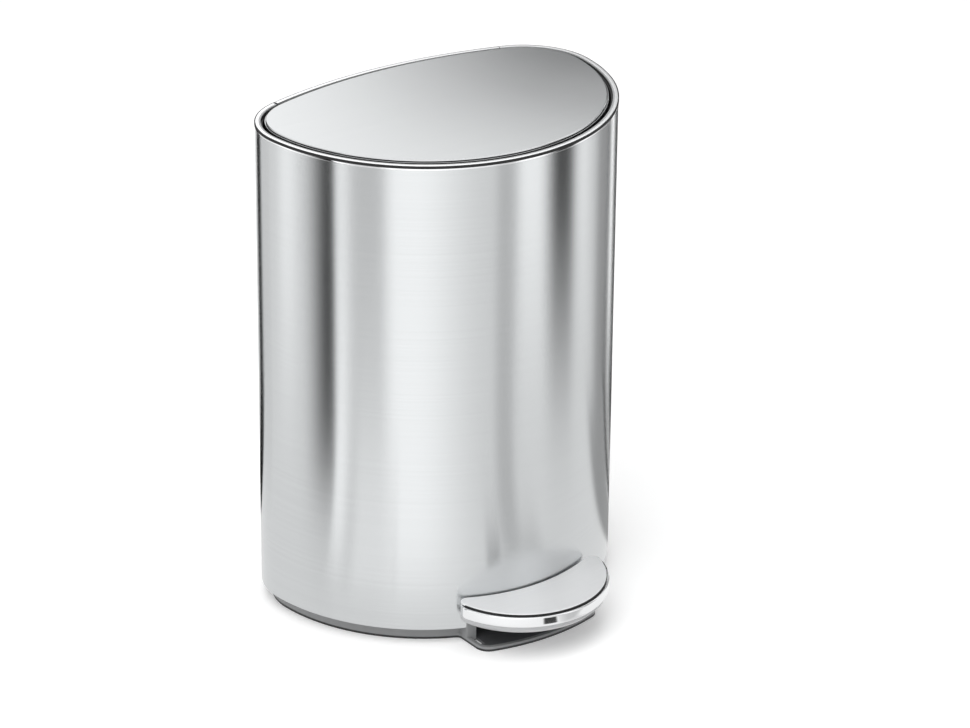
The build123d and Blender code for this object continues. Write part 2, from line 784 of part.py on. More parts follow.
with BuildPart() as rod_head:
    with BuildSketch(Plane.YZ.offset(-head_half_width)):
        with Locations((rod_y, lever_pin_z)):
            SlotOverall(head_slot_length + 2 * head_wall, 2 * head_half_height)
            SlotOverall(head_slot_length, head_slot_height, mode=Mode.SUBTRACT)
    extrude(amount=2 * head_half_width)
    with BuildSketch(Plane.XY.offset(stalk_bottom)):
        with Locations((0, rod_y)):
            Circle(head_half_width)
    extrude(amount=head_bottom + head_wall / 2 - stalk_bottom)
    with BuildSketch(Plane.XY.offset(stalk_bottom)):
        with Locations((0, rod_y)):
            Circle(rod_radius)
    extrude(amount=rod_top - stalk_bottom, mode=Mode.SUBTRACT)
write(rod_head, "rod_head")

with BuildPart() as rod_foot:
    foot_outline = area(
        foot_slot_y - foot_slot_length / 2 - foot_wall,
        foot_slot_y + foot_slot_length / 2 + foot_wall,
        foot_bottom,
        foot_top,
    )
    add(slice_of(foot_outline, -foot_half_width, foot_half_width))
    with BuildSketch(Plane.YZ.offset(-foot_half_width)):
        with Locations((foot_slot_y, tip_rest_z)):
            SlotOverall(foot_slot_length, foot_slot_height)
    extrude(amount=2 * foot_half_width, mode=Mode.SUBTRACT)
    with BuildSketch(Plane.XY.offset(foot_top)):
        with Locations((0, rod_y)):
            Circle(rod_radius)
    extrude(amount=-rod_grip, mode=Mode.SUBTRACT)
write(rod_foot, "rod_foot")

# Lid skin: pressed steel with a rounded edge, hemmed under except along the hinge
with BuildPart() as lid_hollow:
    with BuildSketch(Plane.XY.offset(liner_bottom)):
        add(plan(lid_inset + lid_skin_wall))
    extrude(amount=skin_under - liner_bottom)
    fillet(lid_hollow.faces().sort_by(Axis.Z)[-1].edges(), lid_edge_round - lid_skin_wall)

with BuildPart() as lid_skin:
    with BuildSketch(Plane.XY.offset(lid_bottom)):
        add(plan(lid_inset))
    extrude(amount=lid_skirt)
    fillet(lid_skin.faces().sort_by(Axis.Z)[-1].edges(), lid_edge_round)
    add(lid_hollow.part, mode=Mode.SUBTRACT)
    with BuildSketch(Plane.XY.offset(lid_bottom)):
        add(plan(lid_inset + lid_hem))
        add(ahead_of(liner_back_y), mode=Mode.INTERSECT)
    extrude(amount=lid_skin_wall, mode=Mode.SUBTRACT)
    with BuildSketch(Plane.XY.offset(lid_bottom)):
        add(plan(lid_inset + lid_skin_wall))
        add(behind(liner_back_y), mode=Mode.INTERSECT)
    extrude(amount=lid_skin_wall, mode=Mode.SUBTRACT)
write(lid_skin, "lid_skin")

# Lid liner: a plastic pan with ribs under the skin and two pairs of hinge arms
arm_start = ear_thickness / 2 + side_play
screw_place_y = liner_back_y - lever_base_depth / 2
rib_count = int((body_radius - lid_inset - liner_rib_margin) // liner_rib_spacing)
cross_rib_count = int((liner_back_y - front_y - lid_inset - liner_rib_margin) // liner_rib_spacing) + 1
with BuildPart() as lid_liner:
    with BuildSketch(Plane.XY.offset(liner_bottom)):
        add(plan(liner_inset))
        add(ahead_of(liner_back_y), mode=Mode.INTERSECT)
    extrude(amount=liner_plate)
    with BuildSketch(Plane.XY.offset(liner_top)):
        add(plan(liner_inset))
        add(plan(liner_inset + liner_wall), mode=Mode.SUBTRACT)
        add(ahead_of(liner_back_y), mode=Mode.INTERSECT)
    extrude(amount=hinge_z - liner_top)
    with BuildSketch(Plane.XY.offset(liner_top)):
        for step in range(-rib_count, rib_count + 1):
            rib_x = step * liner_rib_spacing
            add(area(rib_x - liner_rib / 2, rib_x + liner_rib / 2, -body_depth, body_depth))
        for step in range(cross_rib_count):
            rib_y = liner_back_y - liner_rib / 2 - step * liner_rib_spacing
            add(area(-body_radius, body_radius, rib_y - liner_rib / 2, rib_y + liner_rib / 2))
        add(plan(lid_inset + liner_rib_margin), mode=Mode.INTERSECT)
        add(ahead_of(liner_back_y), mode=Mode.INTERSECT)
        for side in (-1, 1):
            with Locations((side * lever_screw_spacing / 2, screw_place_y)):
                Circle(screw_radius + liner_wall)
    extrude(amount=skin_under - liner_top)
    for side in (-1, 1):
        for x_min in (side * ear_x + arm_start, side * ear_x - arm_start - arm_thickness):
            arm = area(liner_back_y - liner_wall, hinge_y, liner_bottom, skin_under)
            add(slice_of(arm, x_min, x_min + arm_thickness))
            add(slice_of(disc(hinge_y, hinge_z, skin_under - hinge_z), x_min, x_min + arm_thickness))
            hole = disc(hinge_y, hinge_z, hinge_pin_radius + running_fit)
            add(slice_of(hole, x_min, x_min + arm_thickness), mode=Mode.SUBTRACT)
        with BuildSketch(Plane.XY.offset(liner_bottom)):
            with Locations((side * lever_screw_spacing / 2, screw_place_y)):
                Circle(screw_radius + seat_fit)
        extrude(amount=lever_screw_length - lever_sheet + seat_fit, mode=Mode.SUBTRACT)
write(lid_liner, "lid_liner")

# Hinge pins through the ears of the collar and the arms of the liner
with BuildPart() as hinge_pins:
    pin_half = arm_start + arm_thickness - seat_fit
    for side in (-1, 1):
        pin_start = side * ear_x - pin_half
        add(slice_of(disc(hinge_y, hinge_z, hinge_pin_radius), pin_start, pin_start + 2 * pin_half))
write(hinge_pins, "hinge_pins")

# Lever under the lid: a folded sheet bracket with two cheeks, its pin and its screws
base_top = liner_bottom
base_under = liner_bottom - lever_sheet
base_front_y = liner_back_y - lever_base_depth
cheek_outline = outline_of(
    (base_front_y + lever_strip_depth, base_top),
    (liner_back_y, base_top),
    (lever_pin_y + lever_eye_radius, lever_pin_z),
    (lever_pin_y - lever_eye_radius, lever_pin_z),
)
with BuildPart() as lid_lever:
    with BuildSketch(Plane.XY.offset(base_under)):
        add(area(-lever_base_width / 2, lever_base_width / 2, base_front_y, liner_back_y))
        strip_back_y = base_front_y + lever_strip_depth
        add(area(-lever_cheek_gap, lever_cheek_gap, strip_back_y, liner_back_y), mode=Mode.SUBTRACT)
        for side in (-1, 1):
            with Locations((side * lever_screw_spacing / 2, screw_place_y)):
                Circle(screw_radius + seat_fit, mode=Mode.SUBTRACT)
    extrude(amount=lever_sheet)
    for x_min in (lever_cheek_gap, -lever_cheek_gap - lever_sheet):
        x_max = x_min + lever_sheet
        add(slice_of(cheek_outline, x_min, x_max))
        add(slice_of(disc(lever_pin_y, lever_pin_z, lever_eye_radius), x_min, x_max))
        add(slice_of(disc(lever_pin_y, lever_pin_z, lever_pin_radius), x_min, x_max), mode=Mode.SUBTRACT)
write(lid_lever, "lid_lever")

with BuildPart() as lid_lever_pin:
    pin_circle = disc(lever_pin_y, lever_pin_z, lever_pin_radius)
    add(slice_of(pin_circle, -lever_pin_half_length, lever_pin_half_length))
write(lid_lever_pin, "lid_lever_pin")

with BuildPart() as lever_screws:
    for side in (-1, 1):
        add(screw(side * lever_screw_spacing / 2, screw_place_y, base_under, lever_screw_length, True))
write(lever_screws, "lever_screws")

# Pedal plate: a dished steel sheet over the crescent
plate_radius = pedal_radius - plate_edge_step
with BuildPart() as pedal_plate:
    tip = pedal_tip_round - plate_edge_step
    add(column(crescent(plate_radius, pedal_shell_gap, tip), lip_bottom_z, base_plug_top))
    add(dish(plate_thickness), mode=Mode.INTERSECT)
    add(dish(0), mode=Mode.SUBTRACT)
write(pedal_plate, "pedal_plate")

# Polished band round the pedal
with BuildPart() as pedal_band:
    add(column(crescent(pedal_radius, pedal_shell_gap, pedal_tip_round), band_bottom_z, base_plug_top))
    add(dish(plate_thickness), mode=Mode.SUBTRACT)
    fillet(pedal_band.faces().sort_by(Axis.Z)[-1].edges(), band_top_round)
    fillet(pedal_band.faces().sort_by(Axis.Z)[0].edges(), band_bottom_round)
    inner = crescent(pedal_radius - band_wall, pedal_shell_gap + band_wall, pedal_tip_round - band_wall)
    add(column(inner, band_bottom_z, base_plug_top), mode=Mode.SUBTRACT)
write(pedal_band, "pedal_band")

# Pedal body: the plastic block inside the band, hollow from below but for two screw bosses
body_edge = pedal_radius - band_wall - seat_fit
pocket_edge = body_edge - pedal_body_wall
pocket_gap = pedal_inner_gap + pedal_body_wall
pocket_tip = pedal_tip_round - band_wall - pedal_body_wall
with BuildPart() as pedal_pocket:
    add(column(crescent(pocket_edge, pocket_gap, pocket_tip), pedal_bottom_z, base_plug_top))
    with BuildSketch(Plane.XY.offset(tongue_top)):
        with Locations((-pedal_screw_spacing / 2, pedal_screw_y), (pedal_screw_spacing / 2, pedal_screw_y)):
            Circle(pedal_boss_radius)
    extrude(amount=base_plug_top - tongue_top, mode=Mode.SUBTRACT)
    add(dish(plate_thickness + pedal_body_roof), mode=Mode.SUBTRACT)

with BuildPart() as pedal_body:
    tip = pedal_tip_round - pedal_lip_step
    lip = crescent(pedal_radius - pedal_lip_step, pedal_shell_gap + seat_fit, tip)
    add(column(lip, pedal_bottom_z, band_bottom_z))
    chamfer(pedal_body.faces().sort_by(Axis.Z)[0].edges(), pedal_under_depth - seat_fit)
    upper = crescent(body_edge, pedal_inner_gap, pedal_tip_round - band_wall - seat_fit)
    add(column(upper, band_bottom_z, base_plug_top))
    add(dish(plate_thickness), mode=Mode.SUBTRACT)
    add(pedal_pocket.part, mode=Mode.SUBTRACT)
    with BuildSketch(Plane.XY.offset(tongue_top)):
        with Locations((-pedal_screw_spacing / 2, pedal_screw_y), (pedal_screw_spacing / 2, pedal_screw_y)):
            Circle(screw_radius + seat_fit)
    extrude(amount=pedal_screw_length - arm_sheet, mode=Mode.SUBTRACT)
    notch_half = tongue_half_width + side_play
    notch = area(-notch_half, notch_half, front_y - tongue_reach, front_y)
    add(column(notch, pedal_bottom_z, tongue_top), mode=Mode.SUBTRACT)
write(pedal_body, "pedal_body")

with BuildPart() as pedal_screws:
    for x in (-pedal_screw_spacing / 2, pedal_screw_spacing / 2):
        add(screw(x, pedal_screw_y, tongue_z, pedal_screw_length, True))
write(pedal_screws, "pedal_screws")

# Pedal lever: a tongue under the pedal body, and a channel section back to the foot of the rod
flange_front_y = front_y + flange_front_gap
neck_back_y = pivot_y - axle_boss_radius
bend_y = pivot_y + axle_boss_radius
web_end_y = foot_slot_y - foot_slot_length / 2 - foot_wall - web_end_gap
web_end_z = tip_rest_z + tip_eye_radius
web_outline = outline_of(
    (front_y - tongue_reach, tongue_z),
    (bend_y, tongue_z),
    (web_end_y, web_end_z - arm_sheet),
    (web_end_y, web_end_z),
    (bend_y, tongue_top),
    (front_y - tongue_reach, tongue_top),
)
flange_outline = outline_of(
    (flange_front_y, tongue_top),
    (bend_y, tongue_top),
    (web_end_y, web_end_z),
    (rod_y, web_end_z),
    (rod_y, tip_rest_z - tip_eye_radius),
    (pivot_y, pivot_z - hub_radius),
)
arm_half = arm_flange_gap + arm_sheet
with BuildPart() as pedal_arm:
    add(slice_of(web_outline, -arm_half, arm_half))
    with BuildSketch(Plane.XY.offset(tongue_z)) as tongue:
        add(area(-tongue_half_width, tongue_half_width, front_y - tongue_reach, neck_back_y))
        fillet(tongue.vertices(), tongue_corner)
    extrude(amount=arm_sheet)
    for x_min in (arm_flange_gap, -arm_half):
        x_max = x_min + arm_sheet
        add(slice_of(flange_outline, x_min, x_max))
        add(slice_of(disc(pivot_y, pivot_z, hub_radius), x_min, x_max))
        add(slice_of(disc(rod_y, tip_rest_z, tip_eye_radius), x_min, x_max))
        add(slice_of(disc(pivot_y, pivot_z, axle_radius + running_fit), x_min, x_max), mode=Mode.SUBTRACT)
        add(slice_of(disc(rod_y, tip_rest_z, tip_pin_radius), x_min, x_max), mode=Mode.SUBTRACT)
    with BuildSketch(Plane.XY.offset(tongue_z)):
        with Locations((-pedal_screw_spacing / 2, pedal_screw_y), (pedal_screw_spacing / 2, pedal_screw_y)):
            Circle(screw_radius + seat_fit)
    extrude(amount=arm_sheet, mode=Mode.SUBTRACT)
write(pedal_arm, "pedal_arm")

with BuildPart() as arm_tip_pin:
    add(slice_of(disc(rod_y, tip_rest_z, tip_pin_radius), -arm_half, arm_half))
write(arm_tip_pin, "arm_tip_pin")


# Plan of the bucket: the can moved in, flat at the back, with a recess for the channel
def bucket_plan(inset):
    with BuildSketch(mode=Mode.PRIVATE) as outline:
        add(plan(ledge_inner + bucket_gap + inset))
        add(ahead_of(bucket_back_y - inset), mode=Mode.INTERSECT)
        fillet(outline.vertices().group_by(Axis.Y)[-1], bucket_corner - inset)
        half = recess_half_width + inset
        add(area(-half, half, recess_front_y - inset, back_y), mode=Mode.SUBTRACT)
        recess_corners = outline.vertices().filter_by(lambda v: abs(abs(v.X) - half) < 0.01)
        fillet(recess_corners.group_by(Axis.Y)[-1], bucket_recess_round - inset)
        recess_corners = outline.vertices().filter_by(lambda v: abs(abs(v.X) - half) < 0.01)
        inner_round = bucket_recess_round - bucket_rim_width - bucket_wall + inset
        fillet(recess_corners.group_by(Axis.Y)[0], inner_round)
    return outline.sketch


# Room inside the bucket, its lower edge cut back so that the wall is even round the chamfer
room_chamfer = bucket_bottom_round - (2 - sqrt(2)) * bucket_wall
with BuildPart() as bucket_room:
    with BuildSketch(Plane.XY.offset(bucket_bottom + bucket_floor)):
        add(bucket_plan(bucket_rim_width + bucket_wall))
    extrude(amount=bucket_top - bucket_bottom - bucket_floor)
    chamfer(bucket_room.faces().sort_by(Axis.Z)[0].edges(), room_chamfer)

# Inner bucket: lifts straight out when the lid is open
with BuildPart() as bucket:
    with BuildSketch(Plane.XY.offset(bucket_bottom)):
        add(bucket_plan(bucket_rim_width))
    extrude(amount=bucket_top - bucket_bottom)
    chamfer(bucket.faces().sort_by(Axis.Z)[0].edges(), bucket_bottom_round)
    with BuildSketch(Plane.XY.offset(bucket_top - bucket_rim_height)):
        add(bucket_plan(0))
    extrude(amount=bucket_rim_height)
    add(bucket_room.part, mode=Mode.SUBTRACT)
write(bucket, "bucket")
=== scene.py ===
import json
import math

import bmesh
import bpy
from mathutils import Matrix, Vector

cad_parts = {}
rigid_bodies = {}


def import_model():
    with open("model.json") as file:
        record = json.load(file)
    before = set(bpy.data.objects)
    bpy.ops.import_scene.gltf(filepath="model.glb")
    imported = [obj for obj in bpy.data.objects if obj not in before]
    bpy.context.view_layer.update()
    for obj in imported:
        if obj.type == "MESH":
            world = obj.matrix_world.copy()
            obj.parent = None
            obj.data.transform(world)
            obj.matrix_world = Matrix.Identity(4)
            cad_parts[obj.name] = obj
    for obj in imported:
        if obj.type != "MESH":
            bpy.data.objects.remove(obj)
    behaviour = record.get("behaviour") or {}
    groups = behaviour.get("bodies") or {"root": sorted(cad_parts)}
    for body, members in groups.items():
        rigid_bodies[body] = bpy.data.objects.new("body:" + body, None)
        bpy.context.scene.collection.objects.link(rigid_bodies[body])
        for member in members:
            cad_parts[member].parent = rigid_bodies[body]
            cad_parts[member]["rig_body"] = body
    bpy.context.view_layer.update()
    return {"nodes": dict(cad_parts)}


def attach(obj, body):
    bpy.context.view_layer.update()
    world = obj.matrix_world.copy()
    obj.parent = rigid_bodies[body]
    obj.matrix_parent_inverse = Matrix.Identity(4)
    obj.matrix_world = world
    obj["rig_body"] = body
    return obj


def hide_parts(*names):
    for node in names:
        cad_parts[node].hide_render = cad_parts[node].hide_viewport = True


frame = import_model()
NODES = frame["nodes"]
MM = 0.001

# The can's plan, as in the solids: round front, two round corners and a bowed back, in millimetres
FRONT_R, CORNER_R, BACK_R, DEPTH = 116.0, 44.5, 292.0, 166.0
FRONT_Y = -63.15
BACK_Y = FRONT_Y + DEPTH
ARC_Y = FRONT_Y + FRONT_R
BACK_CENTRE_Y = BACK_Y - BACK_R
APART = ARC_Y - BACK_CENTRE_Y
CORNER_OFFSET = ((BACK_R - CORNER_R) ** 2 - (FRONT_R - CORNER_R) ** 2 + APART**2) / (2 * APART)
CORNER_Y = BACK_CENTRE_Y + CORNER_OFFSET
CORNER_X = math.sqrt((FRONT_R - CORNER_R) ** 2 - (CORNER_Y - ARC_Y) ** 2)
FRONT_END = math.atan2(CORNER_Y - ARC_Y, CORNER_X)
CORNER_END = math.atan2(CORNER_Y - BACK_CENTRE_Y, CORNER_X)

SHELL_BOTTOM, SHELL_TOP, SHEET = 9.6, 309.0, 0.8
RIM_WIDTH, RIM_OVERHANG = 3.4, 0.3
LID_TOP, LID_INSET, LID_SKIRT, LID_ROUND, LID_HEM = 312.8, 5.8, 8.0, 0.7, 2.6
LID_STEP, LID_STEP_DOWN = 0.7, 1.2
MOUTH_HALF, MOUTH_TOP = 44.0, 25.0
PEDAL_R, PEDAL_Y, PEDAL_GAP, PEDAL_TIP = 55.0, FRONT_Y + 15.0, 1.3, 7.0
PLATE_STEP, PLATE_SHEET = 1.8, 1.2
DISH_R, DISH_LOW, DISH_Y = 1100.0, 30.3, FRONT_Y + 3.0
BAND_BOTTOM, BAND_WALL, BAND_DROP = 22.0, 2.8, 0.5
# Hairlines to the metre across the brushing, about 0.6 mm apart (0.7 on the pedal), and the slow change along them
HAIRLINES, PEDAL_HAIRLINES, ALONG = 1700.0, 1400.0, 3.0
# How far a hairline's tone and roughness lie from the sheet's own
TONE_SPREAD, WEAR_SPREAD = 0.025, 0.015


# Materials

def linear(code):
    """sRGB hex to linear colour with alpha."""
    parts = [int(code[i:i + 2], 16) / 255 for i in (0, 2, 4)]
    return [c / 12.92 if c <= 0.04045 else ((c + 0.055) / 1.055) ** 2.4 for c in parts] + [1.0]


def add_node(tree, kind, settings=None, inputs=None, links=()):
    """One node, its settings, its socket values, and its links as (from node, output, input)."""
    made = tree.nodes.new(kind)
    for key, value in (settings or {}).items():
        setattr(made, key, value)
    for key, value in (inputs or {}).items():
        made.inputs[key].default_value = value
    for source, output, socket in links:
        tree.links.new(source.outputs[output], made.inputs[socket])
    return made


def new_material(name):
    """A material with an empty node tree."""
    material = bpy.data.materials.new(name)
    material.use_nodes = True
    material.node_tree.nodes.clear()
    return material


def brushed_steel(name, shade, rough, aniso, rotation, axis, lines, metallic=1.0):
    """304 stainless sheet, belt brushed: hairlines that draw reflections out across the lines.

    The real lines are a few hundredths of a millimetre wide. They are drawn coarser, so that they just show."""
    material = new_material(name)
    tree = material.node_tree
    place = add_node(tree, "ShaderNodeTexCoord")
    stretch = add_node(tree, "ShaderNodeMapping", inputs={"Scale": lines}, links=[(place, "Object", "Vector")])
    hair = add_node(tree, "ShaderNodeTexNoise", inputs={"Scale": 1.0, "Detail": 4.0, "Roughness": 0.65},
                    links=[(stretch, "Vector", "Vector")])
    cloud = add_node(tree, "ShaderNodeTexNoise", inputs={"Scale": 14.0, "Detail": 2.0},
                     links=[(place, "Object", "Vector")])
    tone = add_node(tree, "ShaderNodeValToRGB", links=[(hair, "Fac", "Fac")])
    for stop, position, gain in zip(tone.color_ramp.elements, (0.3, 0.7), (1 - TONE_SPREAD, 1 + TONE_SPREAD)):
        stop.position = position
        stop.color = [min(1.0, c * gain) for c in linear(shade)[:3]] + [1.0]
    wear = add_node(tree, "ShaderNodeMapRange", {"clamp": True},
                    {"From Min": 0.2, "From Max": 0.8, "To Min": rough - WEAR_SPREAD, "To Max": rough + WEAR_SPREAD},
                    [(cloud, "Fac", "Value")])
    bump = add_node(tree, "ShaderNodeBump", inputs={"Strength": 0.01, "Distance": 0.00005},
                    links=[(hair, "Fac", "Height")])
    turn = add_node(tree, "ShaderNodeTangent", {"direction_type": "RADIAL", "axis": axis})
    steel = add_node(tree, "ShaderNodeBsdfPrincipled", inputs={
        "Metallic": metallic, "Anisotropic": aniso, "Anisotropic Rotation": rotation},
                     links=[(tone, "Color", "Base Color"), (wear, "Result", "Roughness"),
                            (bump, "Normal", "Normal"), (turn, "Tangent", "Tangent")])
    add_node(tree, "ShaderNodeOutputMaterial", links=[(steel, "BSDF", "Surface")])
    return material


def plain(name, shade, metallic, rough, grain_mm=0.6, grain=0.1, spread=0.03, foot=None):
    """A solid finish with a fine grain of its own, and a roughness that drifts a little over the piece.

    With foot, a shade and a height in millimetres, the piece is of that shade below that height: painted contact shade
    where it meets the floor."""
    material = new_material(name)
    tree = material.node_tree
    place = add_node(tree, "ShaderNodeTexCoord")
    noise = add_node(tree, "ShaderNodeTexNoise", inputs={"Scale": 1000.0 / grain_mm, "Detail": 2.0},
                     links=[(place, "Object", "Vector")])
    drift = add_node(tree, "ShaderNodeTexNoise", inputs={"Scale": 25.0, "Detail": 3.0},
                     links=[(place, "Object", "Vector")])
    wear = add_node(tree, "ShaderNodeMapRange", {"clamp": True},
                    {"From Min": 0.3, "From Max": 0.7, "To Min": rough - spread, "To Max": rough + spread},
                    [(drift, "Fac", "Value")])
    bump = add_node(tree, "ShaderNodeBump", inputs={"Strength": grain, "Distance": 0.00008},
                    links=[(noise, "Fac", "Height")])
    body = add_node(tree, "ShaderNodeBsdfPrincipled", inputs={"Base Color": linear(shade), "Metallic": metallic},
                    links=[(wear, "Result", "Roughness"), (bump, "Normal", "Normal")])
    # Painted contact shade: below the given height the piece takes the darker shade
    if foot:
        contact_shade_colour, contact_shade_top = foot
        split = add_node(tree, "ShaderNodeSeparateXYZ", links=[(place, "Object", "Vector")])
        above = add_node(tree, "ShaderNodeMapRange", {"clamp": True},
                         {"From Min": (contact_shade_top - 0.1) * MM, "From Max": (contact_shade_top + 0.1) * MM},
                         [(split, "Z", "Value")])
        # Sockets 6 and 7 are the two colours, and output 2 is their mix
        shades = add_node(tree, "ShaderNodeMix", {"data_type": "RGBA"}, {6: linear(contact_shade_colour), 7: linear(shade)},
                          [(above, "Result", 0)])
        tree.links.new(shades.outputs[2], body.inputs["Base Color"])
    add_node(tree, "ShaderNodeOutputMaterial", links=[(body, "BSDF", "Surface")])
    return material


# Sheet of the can: lines run around it, so reflections are drawn out up and down
SHELL = brushed_steel("brushed 304 stainless, lines around the can", "CBCDCE", 0.22, 0.87, 0.25,
                      "Z", (ALONG, ALONG, HAIRLINES))
# Sheet of the lid and the pedal: lines run from side to side, and the tone is quiet
LID = brushed_steel("brushed 304 stainless, lines across the lid", "D0D2D3", 0.23, 0.3, 0.0,
                    "Y", (ALONG, HAIRLINES, HAIRLINES))
# Pedal top: the same sheet, blasted before it was brushed, so it scatters light and stays paler than the shell
PEDAL_TOP = brushed_steel("blasted and brushed 304 stainless", "F2F3F4", 0.5, 0.3, 0.0,
                          "Y", (ALONG, PEDAL_HAIRLINES, PEDAL_HAIRLINES), metallic=0.5)
# Polished rim and pedal band: a mirror with hardly any grain
CHROME = plain("polished stainless", "ECEDEE", 1.0, 0.06, grain=0.01, spread=0.015)
# Rim top: the same steel buffed less, so it stays bright beside the lid
SATIN = plain("satin stainless", "F4F5F6", 0.65, 0.24, grain=0.02, spread=0.02)
# Foot and the rim's seat: moulded with a fine spark-eroded grain, slightly dull. The foot's lowest edge is painted
# dark, as painted contact shade along the floor
GREY = plain("moulded ABS, mid grey, painted contact shade", "969798", 0.0, 0.45, foot=("343536", 1.5))
PALE_GREY = plain("moulded ABS, light grey", "C2C3C4", 0.0, 0.4)
BLACK = plain("moulded ABS, black", "1A1A1B", 0.0, 0.45)
FLOOR_GREY = plain("moulded ABS, charcoal", "58595B", 0.0, 0.5)
# Soft ring and bumpers: matt and a little powdery. The same black makes the dark lines of rim, lid and pedal, which are
# painted shade and painted dark reflection
RUBBER_AND_SHADE_LINES = plain("soft TPE, black, and painted dark lines", "161617", 0.0, 0.75)
ZINC = plain("zinc plated steel", "B9BCC0", 1.0, 0.33, grain_mm=1.2, grain=0.15, spread=0.06)
NYLON = plain("natural nylon", "DAD7CD", 0.0, 0.4)
BUCKET = plain("moulded polypropylene, dark grey", "3A3B3D", 0.0, 0.4)

FINISH = {
    SHELL: ("outer_shell",),
    LID: ("lid_skin",),
    PEDAL_TOP: ("pedal_plate",),
    CHROME: ("rim_ring", "rear_trim", "pedal_band"),
    GREY: ("base_moulding",),
    PALE_GREY: ("pedal_body",),
    FLOOR_GREY: ("bottom_plate",),
    BLACK: ("inner_collar", "rod_channel", "lower_rod_guide", "upper_rod_guide", "lid_liner", "damper_cylinder"),
    RUBBER_AND_SHADE_LINES: ("lid_bumpers", "non_slip_ring"),
    ZINC: ("bottom_screws", "pedal_axle", "axle_clips", "channel_screws", "hinge_pins", "lid_lever",
           "lid_lever_pin", "lever_screws", "pedal_arm", "pedal_screws", "arm_tip_pin", "lift_rod",
           "damper_plunger"),
    NYLON: ("axle_spacers", "rod_head", "rod_foot", "damper_clamp"),
    BUCKET: ("bucket",),
}
for material, names in FINISH.items():
    for name in names:
        NODES[name].data.materials.clear()
        NODES[name].data.materials.append(material)


# Shapes

def mesh_object(name, points, faces, materials=(), smooth=None):
    """A mesh from points in millimetres. With smooth it is shaded smooth below that angle in degrees."""
    mesh = bpy.data.meshes.new(name)
    mesh.from_pydata([Vector(p) * MM for p in points], [], faces)
    mesh.update()
    for material in materials:
        mesh.materials.append(material)
    made = bpy.data.objects.new(name, mesh)
    bpy.context.scene.collection.objects.link(made)
    if smooth:
        turn_outwards(mesh)
        mesh.polygons.foreach_set("use_smooth", [True] * len(mesh.polygons))
        mesh.set_sharp_from_angle(angle=math.radians(smooth))
    return made


def turn_outwards(mesh):
    """Turns the faces of a closed mesh so that they all face out."""
    work = bmesh.new()
    work.from_mesh(mesh)
    bmesh.ops.recalc_face_normals(work, faces=work.faces)
    work.to_mesh(mesh)
    work.free()


def piece(made, node):
    """The made piece stands for a CAD node, on its body, with its finish."""
    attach(made, NODES[node]["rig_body"])
    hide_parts(node)


def arc(cx, cy, r, start, end, count, extra=()):
    """Places on an arc with their outward directions, without the last one, and with extra turns added."""
    turns = sorted([start + (end - start) * i / count for i in range(count)] + list(extra), reverse=end < start)
    return [(cx + r * math.cos(t), cy + r * math.sin(t), math.cos(t), math.sin(t)) for t in turns]


def plan_loop(front=(), rear=()):
    """Places around the can's plan, anticlockwise from the left end of the round front, with extra turns."""
    return (arc(0, ARC_Y, FRONT_R, math.pi - FRONT_END, 2 * math.pi + FRONT_END, 200, front)
            + arc(CORNER_X, CORNER_Y, CORNER_R, FRONT_END, CORNER_END, 60)
            + arc(0, BACK_CENTRE_Y, BACK_R, CORNER_END, math.pi - CORNER_END, 34, rear)
            + arc(-CORNER_X, CORNER_Y, CORNER_R, math.pi - CORNER_END, math.pi - FRONT_END, 60))


def rounded(corners, closed=True, steps=5, hold=0.12):
    """Section through corners (inset, height, radius), each rounded, with a held line beside each round."""
    made = []
    count = len(corners)
    for i, (u, z, r) in enumerate(corners):
        here = Vector((u, z))
        if not r or (not closed and i in (0, count - 1)):
            made.append((u, z))
            continue
        back = (Vector(corners[i - 1][:2]) - here).normalized()
        on = (Vector(corners[(i + 1) % count][:2]) - here).normalized()
        half = back.angle(on) / 2
        centre = here + (back + on).normalized() * r / math.sin(half)
        start, end = here + back * r / math.tan(half), here + on * r / math.tan(half)
        made.append(tuple(start + back * hold))
        for k in range(steps + 1):
            way = ((start - centre).lerp(end - centre, k / steps)).normalized()
            made.append(tuple(centre + way * r))
        made.append(tuple(end + on * hold))
    return made


def sweep(places, section, closed=True):
    """Points and faces of a section, a function of the place, carried round places. An open one has its ends capped."""
    points, faces = [], []
    sections = [section(p) for p in places]
    n, m = len(places), len(sections[0])
    for (x, y, nx, ny), cut in zip(places, sections):
        points += [(x - u * nx, y - u * ny, z) for u, z in cut]
    for i in range(n):
        a, b = i * m, (i + 1) % n * m
        for j in range(m if closed else m - 1):
            k = (j + 1) % m
            faces.append((a + j, b + j, b + k, a + k))
    if not closed:
        faces += [tuple(i * m for i in range(n)), tuple(i * m + m - 1 for i in range(n))[::-1]]
    return points, faces


# Shell: one sheet round the can, with the pedal's mouth at the foot of the front and a weld line down the back
MOUTH_TURN = math.asin(MOUTH_HALF / FRONT_R)
MOUTH_SIDES = [1.5 * math.pi + side * (MOUTH_TURN + slip) for side in (-1, 1) for slip in (-0.0001, 0.0001)]
WELD_HALF, WELD_DEEP = 0.4, 0.03
WELD_TURNS = [0.5 * math.pi + turn for turn in (-0.0016, -0.0010, 0.0010, 0.0016)]
SHELL_MIDDLE = 160.0


def shell_section(place):
    """Section of the sheet, from its rounded lower edge up the outside and down the inside."""
    x, y, nx, ny = place
    low = MOUTH_TOP if abs(x) < MOUTH_HALF and y < ARC_Y else SHELL_BOTTOM
    groove = WELD_DEEP if abs(x) < WELD_HALF and y > ARC_Y else 0.0
    return [(0.35, low), (0.1 + groove, low + 0.1), (groove, low + 0.35), (groove, low + 0.5),
            (groove, SHELL_MIDDLE), (groove, SHELL_TOP - 0.2), (groove, SHELL_TOP), (SHEET, SHELL_TOP),
            (SHEET, SHELL_MIDDLE), (SHEET, low + 0.2), (SHEET, low)]


# The place in the very middle of the weld goes, so that the groove has a flat floor
around = [p for p in plan_loop(MOUTH_SIDES, WELD_TURNS) if not (p[1] > ARC_Y and abs(p[0]) < 0.1)]
points, faces = sweep(around, shell_section)
piece(mesh_object("shell_sheet", points, faces, [SHELL], 35), "outer_shell")


